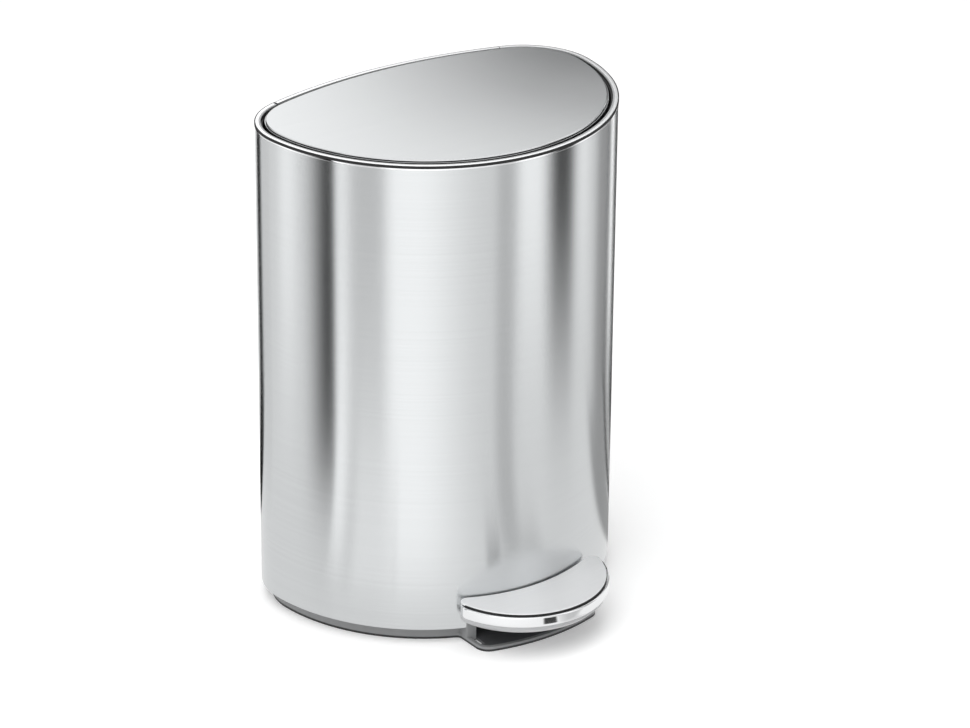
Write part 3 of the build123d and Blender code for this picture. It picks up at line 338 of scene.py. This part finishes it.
# Rim: bars carried along the plan
def bar_tree():
    """Geometry Nodes: a bar with rounded edges along a line of points, closed or with its ends capped."""
    tree = bpy.data.node_groups.new("bar along the plan", "GeometryNodeTree")
    sockets = tree.interface
    sockets.new_socket("Line", in_out="INPUT", socket_type="NodeSocketGeometry")
    for name, size in (("Width", 0.003), ("Height", 0.001), ("Corner Round", 0.0004), ("Middle Inset", 0.001),
                       ("Middle Height", 0.311)):
        sockets.new_socket(name, in_out="INPUT", socket_type="NodeSocketFloat").default_value = size
    sockets.new_socket("Finish", in_out="INPUT", socket_type="NodeSocketMaterial")
    sockets.new_socket("Bar", in_out="OUTPUT", socket_type="NodeSocketGeometry")
    come = add_node(tree, "NodeGroupInput")
    line = add_node(tree, "GeometryNodeMeshToCurve", links=[(come, "Line", "Mesh")])
    level = add_node(tree, "GeometryNodeSetCurveNormal", {"mode": "Z_UP"}, links=[(line, "Curve", "Curve")])
    flat = add_node(tree, "GeometryNodeCurvePrimitiveQuadrilateral", {"mode": "RECTANGLE"},
                    links=[(come, "Width", "Width"), (come, "Height", "Height")])
    soft = add_node(tree, "GeometryNodeFilletCurve", {"mode": "POLY"}, {"Count": 5, "Limit Radius": True},
                    [(flat, "Curve", "Curve"), (come, "Corner Round", "Radius")])
    shift = add_node(tree, "ShaderNodeCombineXYZ",
                     links=[(come, "Middle Inset", "X"), (come, "Middle Height", "Y")])
    across = add_node(tree, "ShaderNodeVectorMath", {"operation": "SCALE"}, {"Scale": -1.0},
                      [(shift, "Vector", 0)])
    move = add_node(tree, "GeometryNodeTransform", links=[(soft, "Curve", "Geometry"),
                                                          (across, "Vector", "Translation")])
    bar = add_node(tree, "GeometryNodeCurveToMesh", inputs={"Fill Caps": True},
                   links=[(level, "Curve", "Curve"), (move, "Geometry", "Profile Curve")])
    real = add_node(tree, "GeometryNodeRealizeInstances", links=[(bar, "Mesh", "Geometry")])
    dress = add_node(tree, "GeometryNodeSetMaterial", links=[(real, "Geometry", "Geometry"),
                                                             (come, "Finish", "Material")])
    add_node(tree, "NodeGroupOutput", links=[(dress, "Geometry", "Bar")])
    return tree


def run_tree(tree, start, values):
    """The mesh that a tree makes of a start mesh; the helper object and its modifier are gone afterwards."""
    modifier = start.modifiers.new(tree.name, "NODES")
    modifier.node_group = tree
    for socket in tree.interface.items_tree:
        if socket.item_type == "SOCKET" and socket.in_out == "INPUT" and socket.name in values:
            modifier[socket.identifier] = values[socket.name]
    bpy.context.view_layer.update()
    graph = bpy.context.evaluated_depsgraph_get()
    mesh = bpy.data.meshes.new_from_object(start.evaluated_get(graph), preserve_all_data_layers=True,
                                           depsgraph=graph)
    start.modifiers.remove(modifier)
    bpy.data.objects.remove(start)
    return mesh


def joined(name, meshes, smooth):
    """One object of several closed meshes, with their finishes kept."""
    finishes = []
    work = bmesh.new()
    for mesh in meshes:
        before = len(work.faces)
        work.from_mesh(mesh)
        work.faces.ensure_lookup_table()
        for finish in mesh.materials:
            if finish not in finishes:
                finishes.append(finish)
        for face in work.faces[before:]:
            face.material_index = finishes.index(mesh.materials[face.material_index])
        bpy.data.meshes.remove(mesh)
    bmesh.ops.remove_doubles(work, verts=work.verts, dist=1e-7)
    bmesh.ops.recalc_face_normals(work, faces=work.faces)
    mesh = bpy.data.meshes.new(name)
    work.to_mesh(mesh)
    work.free()
    for finish in finishes:
        mesh.materials.append(finish)
    mesh.polygons.foreach_set("use_smooth", [True] * len(mesh.polygons))
    mesh.set_sharp_from_angle(angle=math.radians(smooth))
    made = bpy.data.objects.new(name, mesh)
    bpy.context.scene.collection.objects.link(made)
    return made


# Each bar: outer inset, inner inset, low, high, corner round, finish
LIP = (-RIM_OVERHANG, 2.2, SHELL_TOP, 310.25, 0.35, CHROME)
# Black bar between lip and top: painted shade of the gap under the rim's top, with its painted dark reflection
GAP_SHADE_BAR = (-RIM_OVERHANG, 2.4, 310.1, 311.65, 0.05, RUBBER_AND_SHADE_LINES)
TOP = (0.35, 2.35, 311.2, 311.8, 0.2, SATIN)
SEAT = (2.3, RIM_WIDTH, 310.8, 311.72, 0.15, GREY)
TONGUE = (0.95, 1.9, 302.2, 310.2, 0.1, CHROME)
# The trim behind has a narrow seat, because the lid's back edge swings down close by it
TRIM_SEAT = (2.3, 2.6, 309.2, 311.72, 0.05, SATIN)
BAR_TREE = bar_tree()


def rim_piece(name, bars):
    """One piece of several bars. Each is carried along its own places, all round or with ends."""
    meshes = []
    for (outer, inner, low, high, soft, finish), places, closed in bars:
        edges = [(i, i + 1) for i in range(len(places) - 1)] + ([(len(places) - 1, 0)] if closed else [])
        mesh = bpy.data.meshes.new(name)
        mesh.from_pydata([(x * MM, y * MM, 0) for x, y, _, _ in places], edges, [])
        start = bpy.data.objects.new(name, mesh)
        bpy.context.scene.collection.objects.link(start)
        values = {"Width": (inner - outer) * MM, "Height": (high - low) * MM, "Corner Round": soft * MM,
                  "Middle Inset": (outer + inner) / 2 * MM, "Middle Height": (low + high) / 2 * MM,
                  "Finish": finish}
        meshes.append(run_tree(BAR_TREE, start, values))
    return joined(name, meshes, 35)


# The trim closes the rim at the back. The black bar of painted gap shade runs on under it and shows dark in the two
# seams, as their painted shade
TRIM_HALF, LEFT_SEAM, RIGHT_SEAM, SLACK = 82.3, 1.8, 0.5, 0.01
RING_LEFT, RING_RIGHT = -TRIM_HALF - LEFT_SEAM, TRIM_HALF + RIGHT_SEAM
whole = plan_loop(rear=[math.acos(x / BACK_R) for x in (RING_RIGHT, TRIM_HALF, -TRIM_HALF, RING_LEFT)])
behind = [p for p in whole if p[1] > ARC_Y and abs(p[0]) < TRIM_HALF + SLACK]
ring = [p for p in whole if not (p[1] > ARC_Y and RING_LEFT + SLACK < p[0] < RING_RIGHT - SLACK)]
# The ring's places start at its left end, beyond the wide gap between two neighbours
gap_at = next(i for i in range(len(ring)) if math.dist(ring[i][:2], ring[i - 1][:2]) > TRIM_HALF)
ring = ring[gap_at:] + ring[:gap_at]
piece(rim_piece("polished_rim", [(GAP_SHADE_BAR, whole, True)] + [(bar, ring, False) for bar in (LIP, TOP, SEAT, TONGUE)]),
      "rim_ring")
piece(rim_piece("polished_rear_trim", [(bar, behind, False) for bar in (LIP, TOP, TRIM_SEAT, TONGUE)]), "rear_trim")

# Lid skin: pressed sheet with a stepped edge, a rounded top, and a hem turned in under its skirt. The hem is left out
# behind the liner, where the hinge is
LINER_BACK = BACK_Y - 28.0
LID_LOW, LID_FLAT = LID_TOP - LID_SKIRT, LID_INSET + 9
STEP_INSET, STEP_Z = LID_INSET + LID_STEP, LID_TOP - LID_STEP_DOWN


def lid_section(place):
    """Section of the sheet, from the flat of its top over the skirt to the hem, and back inside."""
    hem = LID_HEM if place[1] < LINER_BACK else SHEET
    outer = rounded([(LID_FLAT, LID_TOP, 0), (STEP_INSET, LID_TOP, LID_ROUND), (STEP_INSET, STEP_Z, 0),
                     (LID_INSET, STEP_Z, 0.15), (LID_INSET, LID_LOW, 0.3), (LID_INSET + hem, LID_LOW, 0)],
                    closed=False)
    inner = [(LID_INSET + hem, LID_LOW + SHEET), (LID_INSET + SHEET, LID_LOW + SHEET),
             (LID_INSET + SHEET, STEP_Z - SHEET), (STEP_INSET + SHEET, STEP_Z - SHEET),
             (STEP_INSET + SHEET, LID_TOP - SHEET), (LID_FLAT, LID_TOP - SHEET)]
    return outer + inner


def dark_reflection_section(place):
    """Section of the black bead under the lid's top edge, a painted dark reflection line."""
    out, within, low, high = STEP_INSET - 0.12, STEP_INSET + 0.4, STEP_Z - 0.1, LID_TOP - 0.55
    return rounded([(out, low, 0), (out, high, 0.1), (within, high, 0), (within, low, 0)], steps=3, hold=0.03)


def joined_sweeps(name, places, sections, smooth):
    """One piece of several sections carried round the same places. Each is (section, closed, finish)."""
    meshes = []
    for section, closed, finish in sections:
        points, faces = sweep(places, section, closed=closed)
        part = mesh_object(name, points, faces, [finish])
        meshes.append(part.data)
        bpy.data.objects.remove(part)
    return joined(name, meshes, smooth)


# The black bead under the lid's top edge is a painted dark reflection
piece(joined_sweeps("lid_sheet", plan_loop(), [(lid_section, False, LID), (dark_reflection_section, True, RUBBER_AND_SHADE_LINES)], 35),
      "lid_skin")


# Pedal: a crescent round the front of the shell, its top dished by a large ball
def crescent(radius, tip, counts=(90, 14, 90, 14)):
    """The front edge, the right tip, the edge along the shell and the left tip, with outward directions."""
    big, small = radius - tip, FRONT_R + PEDAL_GAP + tip
    y = ((big**2 - small**2) + ARC_Y**2 - PEDAL_Y**2) / (2 * (ARC_Y - PEDAL_Y))
    x = math.sqrt(big**2 - (y - PEDAL_Y) ** 2)
    out, on = math.atan2(y - PEDAL_Y, x), math.atan2(ARC_Y - y, -x)
    side = math.atan2(y - ARC_Y, x)
    front = arc(0, PEDAL_Y, radius, math.pi - out, 2 * math.pi + out, counts[0])
    right = arc(x, y, tip, out, on, counts[1])
    inner = [(px, py, -nx, -ny) for px, py, nx, ny in
             arc(0, ARC_Y, FRONT_R + PEDAL_GAP, side, -math.pi - side, counts[2])]
    left = arc(-x, y, tip, math.pi - on, math.pi - out, counts[3])
    return front + right + inner + left, counts


def dish(x, y, depth):
    """Height of the pedal's dish, depth below its surface."""
    return DISH_LOW + DISH_R - math.sqrt((DISH_R + depth) ** 2 - x * x - (y - DISH_Y) ** 2)


def dished_plate():
    """The plate as rings from the middle of its top, over its edge, to the middle of its underside."""
    tip = PEDAL_TIP - PLATE_STEP
    places, counts = crescent(PEDAL_R - PLATE_STEP, tip)
    rings = [(tip - 0.05, 0), (2.0, 0), (0.9, 0), (0.45, 0), (0.28, 0.03), (0.13, 0.13), (0.03, 0.28), (0, 0.45),
             (0, 0.8), (0.06, 1.0), (0.2, 1.15), (0.4, PLATE_SHEET), (1.2, PLATE_SHEET), (tip - 0.05, PLATE_SHEET)]
    points, faces = [], []
    n = len(places)
    for inset, depth in rings:
        for x, y, nx, ny in places:
            px, py = x - inset * nx, y - inset * ny
            points.append((px, py, dish(px, py, depth)))
    for j in range(len(rings) - 1):
        for i in range(n):
            a, b = j * n + i, j * n + (i + 1) % n
            faces.append((a, b, b + n, a + n))
    front_end = counts[0]
    back_start = front_end + counts[1]
    back_end = back_start + counts[2]
    rows = 8
    for level, depth in ((0, 0), (len(rings) - 1, PLATE_SHEET)):
        base = level * n
        columns = []
        for i in range(front_end + 1):
            near, far = base + i % n, base + (back_end - i) % n
            column = [near]
            for k in range(1, rows):
                x, y = (points[near][a] + (points[far][a] - points[near][a]) * k / rows for a in (0, 1))
                column.append(len(points))
                points.append((x, y, dish(x, y, depth)))
            columns.append(column + [far])
        for i in range(front_end):
            for k in range(rows):
                faces.append((columns[i][k], columns[i + 1][k], columns[i + 1][k + 1], columns[i][k + 1]))
        faces.append(tuple([base + i for i in range(front_end, back_start + 1)] + columns[-1][1:-1][::-1]))
        faces.append(tuple([base + i % n for i in range(back_end, n + 1)] + columns[0][1:-1]))
    return points, faces


points, faces = dished_plate()
piece(mesh_object("pedal_top_sheet", points, faces, [PEDAL_TOP], 40), "pedal_plate")


def band_section(place):
    """Section of the pedal band. Its top edge follows the dish under the plate."""
    x, y, nx, ny = place
    edge = dish(x, y, PLATE_SHEET + BAND_DROP)
    within = dish(x - BAND_WALL * nx, y - BAND_WALL * ny, PLATE_SHEET + BAND_DROP)
    return rounded([(0, BAND_BOTTOM, 2.3), (0, edge, 0.9), (BAND_WALL, within, 0), (BAND_WALL, BAND_BOTTOM, 0)],
                   steps=7)


def groove_shade_section(place):
    """Section of the black line that the plate is bedded on: painted shade of the groove between plate and band. It
    stands a little out of the plate's edge.
    """
    x, y, nx, ny = place
    low, high = (dish(x - 2 * nx, y - 2 * ny, depth) for depth in (PLATE_SHEET + BAND_DROP + 0.2, 0.4))
    return rounded([(1.6, low, 0), (1.6, high, 0.12), (2.6, high, 0), (2.6, low, 0)], steps=3, hold=0.05)


band_line = crescent(PEDAL_R, PEDAL_TIP, (120, 24, 120, 24))[0]
# The black line under the plate's edge is painted shade of the groove
piece(joined_sweeps("pedal_edge_band", band_line, [(band_section, True, CHROME), (groove_shade_section, True, RUBBER_AND_SHADE_LINES)], 35),
      "pedal_band")


# Screws: one tree for all of them, a head with a cross recess on a plain shank
def screw_tree():
    """Geometry Nodes: a screw at each point, turned at random about its own line by the seed."""
    tree = bpy.data.node_groups.new("screws at their places", "GeometryNodeTree")
    sockets = tree.interface
    sockets.new_socket("Places", in_out="INPUT", socket_type="NodeSocketGeometry")
    for name, size in (("Head Radius", 0.0028), ("Under Radius", 0.0028), ("Head Height", 0.0013),
                       ("Shank Radius", 0.0014), ("Length", 0.006), ("Cross Width", 0.0007),
                       ("Cross Depth", 0.0007), ("Tip Over", 0.0)):
        sockets.new_socket(name, in_out="INPUT", socket_type="NodeSocketFloat").default_value = size
    sockets.new_socket("Seed", in_out="INPUT", socket_type="NodeSocketInt").default_value = 3
    sockets.new_socket("Finish", in_out="INPUT", socket_type="NodeSocketMaterial")
    sockets.new_socket("Screws", in_out="OUTPUT", socket_type="NodeSocketGeometry")
    come = add_node(tree, "NodeGroupInput")

    def maths(operation, *parts):
        """The result of an operation on numbers and sockets."""
        made = add_node(tree, "ShaderNodeMath", {"operation": operation})
        for i, part in enumerate(parts):
            if isinstance(part, (int, float)):
                made.inputs[i].default_value = part
            else:
                tree.links.new(part, made.inputs[i])
        return made.outputs["Value"]

    def up(mesh, height):
        """A mesh node's mesh, moved up by a socket's height."""
        place = add_node(tree, "ShaderNodeCombineXYZ")
        tree.links.new(height, place.inputs["Z"])
        return add_node(tree, "GeometryNodeTransform", links=[(mesh, "Mesh", "Geometry"),
                                                              (place, "Vector", "Translation")])

    height, length, depth = come.outputs["Head Height"], come.outputs["Length"], come.outputs["Cross Depth"]
    head = add_node(tree, "GeometryNodeMeshCone", inputs={"Vertices": 36},
                    links=[(come, "Head Radius", "Radius Top"), (come, "Under Radius", "Radius Bottom"),
                           (come, "Head Height", "Depth")])
    shank = add_node(tree, "GeometryNodeMeshCylinder", inputs={"Vertices": 20},
                     links=[(come, "Shank Radius", "Radius"), (come, "Length", "Depth")])
    low_shank = up(shank, maths("MULTIPLY", length, -0.5))
    recess = []
    for wide, long in (("X", "Y"), ("Y", "X")):
        size = add_node(tree, "ShaderNodeCombineXYZ", links=[(come, "Cross Width", wide)])
        tree.links.new(maths("MULTIPLY", come.outputs["Shank Radius"], 2.2), size.inputs[long])
        tree.links.new(maths("MULTIPLY", depth, 2.0), size.inputs["Z"])
        recess.append(up(add_node(tree, "GeometryNodeMeshCube", links=[(size, "Vector", "Size")]), height))
    cut = add_node(tree, "GeometryNodeMeshBoolean", {"operation": "DIFFERENCE", "solver": "EXACT"},
                   links=[(head, "Mesh", "Mesh 1")])
    for bar in recess:
        tree.links.new(bar.outputs["Geometry"], cut.inputs["Mesh 2"])
    whole = add_node(tree, "GeometryNodeJoinGeometry")
    for part in (low_shank.outputs["Geometry"], cut.outputs["Mesh"]):
        tree.links.new(part, whole.inputs["Geometry"])
    # Sockets 2 and 3 are the least and the most turn, and output 1 is the number drawn
    turn = add_node(tree, "FunctionNodeRandomValue", {"data_type": "FLOAT"}, {2: 0.0, 3: 1.5},
                    [(come, "Seed", "Seed")])
    spin = add_node(tree, "ShaderNodeCombineXYZ", links=[(come, "Tip Over", "X")])
    tree.links.new(turn.outputs[1], spin.inputs["Z"])
    put = add_node(tree, "GeometryNodeInstanceOnPoints",
                   links=[(come, "Places", "Points"), (whole, "Geometry", "Instance"), (spin, "Vector", "Rotation")])
    real = add_node(tree, "GeometryNodeRealizeInstances", links=[(put, "Instances", "Geometry")])
    dress = add_node(tree, "GeometryNodeSetMaterial", links=[(real, "Geometry", "Geometry"),
                                                             (come, "Finish", "Material")])
    add_node(tree, "NodeGroupOutput", links=[(dress, "Geometry", "Screws")])
    return tree


SCREW_TREE = screw_tree()


def screws(name, node, groups):
    """Screws of one node. Each group is its places, the way the heads face, and its sizes in millimetres."""
    meshes = []
    for places, heads_up, head, under, height, length in groups:
        mesh = bpy.data.meshes.new(name)
        mesh.from_pydata([Vector(p) * MM for p in places], [], [])
        start = bpy.data.objects.new(name, mesh)
        bpy.context.scene.collection.objects.link(start)
        values = {"Head Radius": head * MM, "Under Radius": under * MM, "Head Height": height * MM,
                  "Length": length * MM, "Tip Over": 0.0 if heads_up else math.pi, "Finish": ZINC}
        meshes.append(run_tree(SCREW_TREE, start, values))
    piece(joined(name, meshes, 30), node)


# Heads: their radius, the radius under them and their height
COUNTERSUNK, PAN = (2.8, 1.4, 1.4), (2.6, 2.8, 1.3)
POST_R, POST_TURN, POST_BACK = 98, math.radians(33), 18
POSTS = [(side * x, y) for x, y in ((POST_R * math.cos(POST_TURN), ARC_Y - POST_R * math.sin(POST_TURN)),
                                    (CORNER_X - POST_BACK, CORNER_Y + POST_BACK)) for side in (-1, 1)]
LEVER_Y, CHANNEL_Y = LINER_BACK - 7.5, LINER_BACK + 7.9
screws("base_screws", "bottom_screws", [([(x, y, 2.4) for x, y in POSTS], False, *COUNTERSUNK, 10.6)])
screws("channel_pan_screws", "channel_screws",
       [([(x, CHANNEL_Y, 39.4) for x in (-31, 31)], True, *PAN, 4.4),
        ([(x, CHANNEL_Y, 293.2) for x in (-31, 31)], False, *PAN, 4.4)])
screws("lever_pan_screws", "lever_screws", [([(x, LEVER_Y, 304.0) for x in (-10.4, 10.4)], False, *PAN, 6.0)])
screws("pedal_pan_screws", "pedal_screws", [([(x, FRONT_Y - 13, 18.0) for x in (-10, 10)], False, *PAN, 6.0)])


# Studio

# Where the cards stand around, close to the middle of the can
CARD_CENTRE_Y = 36.85


def card(name, angle, width, strength, side_soft, foot, distance, high=520, high_soft=0, clear=0.6):
    """A studio card that only polished and brushed metal sees. It bends round the can, width degrees wide.

    Foot is where its light starts and where it is full, in millimetres up the card. Below nought the card lies on
    the floor towards the can, clear of it by clear. Cards that overlap there need different heights. The light fades
    at the card's sides by a share of its width, and at its top by high_soft."""
    steps = 24
    levels = sorted({min(foot[0], 0), max(foot[0], 0), high})
    points, faces = [], []
    for i in range(steps + 1):
        turn = math.radians(angle - width / 2 + width * i / steps)
        for level in levels:
            out, z = distance + min(level, 0), max(level, clear)
            points.append((out * math.sin(turn), CARD_CENTRE_Y - out * math.cos(turn), z))
    n = len(levels)
    for i in range(steps):
        for j in range(n - 1):
            a = n * i + j
            faces.append((a, a + n, a + n + 1, a + 1))
    made = mesh_object(name, points, faces)
    uv = made.data.uv_layers.new(name="card")
    for loop in made.data.loops:
        column, row = divmod(loop.vertex_index, n)
        uv.data[loop.index].uv = (column / steps, levels[row] * MM)
    material = new_material(name)
    tree = material.node_tree
    at = add_node(tree, "ShaderNodeUVMap", {"uv_map": "card"})
    split = add_node(tree, "ShaderNodeSeparateXYZ", links=[(at, "UV", "Vector")])
    mask = None
    for axis, start, end in (("X", 0.0, max(side_soft[0], 0.001)), ("X", 1.0, 1.0 - max(side_soft[1], 0.001)),
                             ("Y", foot[0] * MM, foot[1] * MM), ("Y", high * MM, (high - high_soft - 1) * MM)):
        edge = add_node(tree, "ShaderNodeMapRange", {"interpolation_type": "SMOOTHSTEP"},
                        {"From Min": start, "From Max": end}, [(split, axis, "Value")])
        if mask:
            edge = add_node(tree, "ShaderNodeMath", {"operation": "MULTIPLY"},
                            links=[(mask, 0, 0), (edge, "Result", 1)])
        mask = edge
    nothing = add_node(tree, "ShaderNodeBsdfTransparent")
    glow = add_node(tree, "ShaderNodeEmission", inputs={"Strength": strength})
    mix = add_node(tree, "ShaderNodeMixShader", links=[(mask, 0, 0), (nothing, "BSDF", 1), (glow, "Emission", 2)])
    add_node(tree, "ShaderNodeOutputMaterial", links=[(mix, "Shader", "Surface")])
    made.data.materials.append(material)
    made.visible_camera = False
    made.visible_diffuse = False
    made.visible_shadow = False
    made.visible_transmission = False


CARDS = (
    # name, middle angle, width, strength, side softness, foot, distance, then high, high_soft and clear where they
    # are not the usual ones
    ("edge flag left", -159.5, 19, 0.0, (0.05, 0.05), (-200, -190), 340),
    ("grey panel far left", -136, 24, 0.9, (0.1, 0.4), (-180, 0), 342),
    ("softbox far left", -112, 21, 1.36, (0.4, 0.5), (-60, 200), 344),
    ("dark strip left", -93.6, 21, 0.0, (0.85, 0.03), (-60, 10), 341),
    ("softbox left", -79.3, 10, 1.44, (0.05, 0.6), (-190, -60), 343),
    ("grey panel left", -66, 21, 0.78, (0.3, 0.3), (0, 200), 345),
    ("large softbox left", -31, 58, 1.45, (0.16, 0.7), (-225, -100), 346),
    ("grey panel front", 6.5, 16, 0.71, (0.4, 0.35), (-215, -190), 347),
    ("softbox right", 21.5, 22, 1.4, (0.35, 0.3), (0, 200), 343),
    ("dark flag right", 42, 26, 0.05, (0.4, 0.3), (-40, 190), 341),
    ("narrow softbox right", 60, 16, 1.25, (0.4, 0.4), (0, 200), 344),
    ("grey panel right", 80, 22, 0.42, (0.5, 0.1), (-190, -120), 342),
    ("dark strip right", 91.5, 7, 0.02, (0.4, 0.05), (-200, -190), 339),
    ("edge light right", 99, 6.5, 1.75, (0.05, 0.05), (-60, 110), 343),
    ("edge strip right", 110, 15, 0.0, (0.05, 0.1), (-200, -190), 340),
    ("floor sheet left", -62, 24, 1.2, (0.2, 0.2), (-200, -150), 348, 20),
    ("edge panel right", 99, 6.6, 0.5, (0.03, 0.03), (-200, -190), 345, 420, 300, 0.4),
    # Small cards on the floor, close to the pedal, that its band mirrors
    ("pedal flag", -3.8, 8.6, 0.06, (0.2, 0.2), (-32, -28), 209, 2, 0, 1.4),
    ("pedal panel right", 14, 24, 0.6, (0.3, 0.3), (-40, -34), 214, 2, 0, 1.4),
    # The floor beside the can, that the foot of the shell's right edge mirrors
    ("floor panel right", 77.5, 22, 0.42, (0.3, 0.05), (-228, -222), 340, 2, 0, 1.0),
    # Behind the can, where the flat lid looks: a bright wall, and a grey panel that fades up and to the left
    ("lid softbox", 143, 80, 1.34, (0.15, 0.15), (300, 360), 520, 1100),
    ("lid grey panel", 132, 64, 0.12, (0.05, 0.5), (250, 260), 500, 585, 115),
    # High over the camera: it lights the rounded edges
    ("high softbox", -36, 150, 1.55, (0.1, 0.1), (560, 620), 500, 1100),
)
for values in CARDS:
    card(*values)


def floor(half):
    """White floor. The camera sees it lit, with the object's shadow. Metal sees an even white."""
    made = mesh_object("studio_floor", [(-half, -half, 0), (half, -half, 0), (half, half, 0), (-half, half, 0)],
                       [(0, 1, 2, 3)])
    material = new_material("white studio floor")
    tree = material.node_tree
    path = add_node(tree, "ShaderNodeLightPath")
    matt = add_node(tree, "ShaderNodeBsdfDiffuse", inputs={"Color": linear("F4F4F4")})
    lift = add_node(tree, "ShaderNodeEmission", inputs={"Strength": 0.24})
    white = add_node(tree, "ShaderNodeEmission", inputs={"Strength": 1.0})
    lit = add_node(tree, "ShaderNodeAddShader", links=[(matt, "BSDF", 0), (lift, "Emission", 1)])
    camera_side = add_node(tree, "ShaderNodeMixShader", links=[(path, "Is Camera Ray", 0), (matt, "BSDF", 1),
                                                               (lit, "Shader", 2)])
    pick = add_node(tree, "ShaderNodeMixShader", links=[(path, "Is Glossy Ray", 0), (camera_side, "Shader", 1),
                                                        (white, "Emission", 2)])
    add_node(tree, "ShaderNodeOutputMaterial", links=[(pick, "Shader", "Surface")])
    made.data.materials.append(material)


floor(half=6000)


def studio_world():
    """White where the camera or metal sees it, and dimmer where it lights the object."""
    world = bpy.data.worlds.new("studio")
    bpy.context.scene.world = world
    world.use_nodes = True
    tree = world.node_tree
    tree.nodes.clear()
    path = add_node(tree, "ShaderNodeLightPath")
    white = add_node(tree, "ShaderNodeBackground", inputs={"Strength": 1.0, "Color": linear("FFFFFF")})
    fill = add_node(tree, "ShaderNodeBackground", inputs={"Strength": 0.55, "Color": linear("FFFFFF")})
    seen = add_node(tree, "ShaderNodeMath", {"operation": "MAXIMUM"},
                    links=[(path, "Is Camera Ray", 0), (path, "Is Glossy Ray", 1)])
    mix = add_node(tree, "ShaderNodeMixShader", links=[(seen, "Value", 0), (fill, "Background", 1),
                                                       (white, "Background", 2)])
    add_node(tree, "ShaderNodeOutputWorld", links=[(mix, "Shader", "Surface")])


studio_world()


def lamp(name, place, target, size, watts):
    """A soft area light that neither the camera nor metal sees. Sizes and places are in metres."""
    data = bpy.data.lights.new(name, "AREA")
    data.shape = "RECTANGLE"
    data.size, data.size_y = size
    data.energy = watts
    made = bpy.data.objects.new(name, data)
    bpy.context.scene.collection.objects.link(made)
    made.location = place
    made.rotation_mode = "QUATERNION"
    made.rotation_quaternion = (Vector(target) - Vector(place)).to_track_quat("-Z", "Y")
    made.visible_camera = False
    made.visible_glossy = False


lamp("key softbox", (-1.1, -0.5, 1.6), (0, 0, 0.12), (1.6, 1.6), 16)
lamp("top softbox", (0.1, 0.2, 1.9), (0, 0, 0), (1.6, 1.6), 14)

# Camera: a long lens, from the left, a little above. Its numbers come from the fit to the photo's edges
FOCAL_PIXELS, PHOTO_WIDTH, SENSOR_MM = 4140.8, 970, 36.0
AZIMUTH, ELEVATION, ROLL = math.radians(-36.288), math.radians(25.067), math.radians(0.573)
CAMERA_PLACE = (-1337.372, -1832.303, 1213.988)
data = bpy.data.cameras.new("camera")
camera = bpy.data.objects.new("camera", data)
bpy.context.scene.collection.objects.link(camera)
bpy.context.scene.camera = camera
data.sensor_width = SENSOR_MM
data.lens = FOCAL_PIXELS / PHOTO_WIDTH * SENSOR_MM
data.clip_end = 50.0
back = Vector((math.sin(AZIMUTH) * math.cos(ELEVATION), -math.cos(AZIMUTH) * math.cos(ELEVATION),
               math.sin(ELEVATION)))
right = Vector((math.cos(AZIMUTH), math.sin(AZIMUTH), 0))
up = back.cross(right)
side = right * math.cos(ROLL) + up * math.sin(ROLL)
top = up * math.cos(ROLL) - right * math.sin(ROLL)
place = Vector(CAMERA_PLACE) * MM
camera.matrix_world = Matrix((
    (side.x, top.x, back.x, place.x), (side.y, top.y, back.y, place.y), (side.z, top.z, back.z, place.z),
    (0, 0, 0, 1)))

bpy.context.scene.view_settings.view_transform = "Standard"
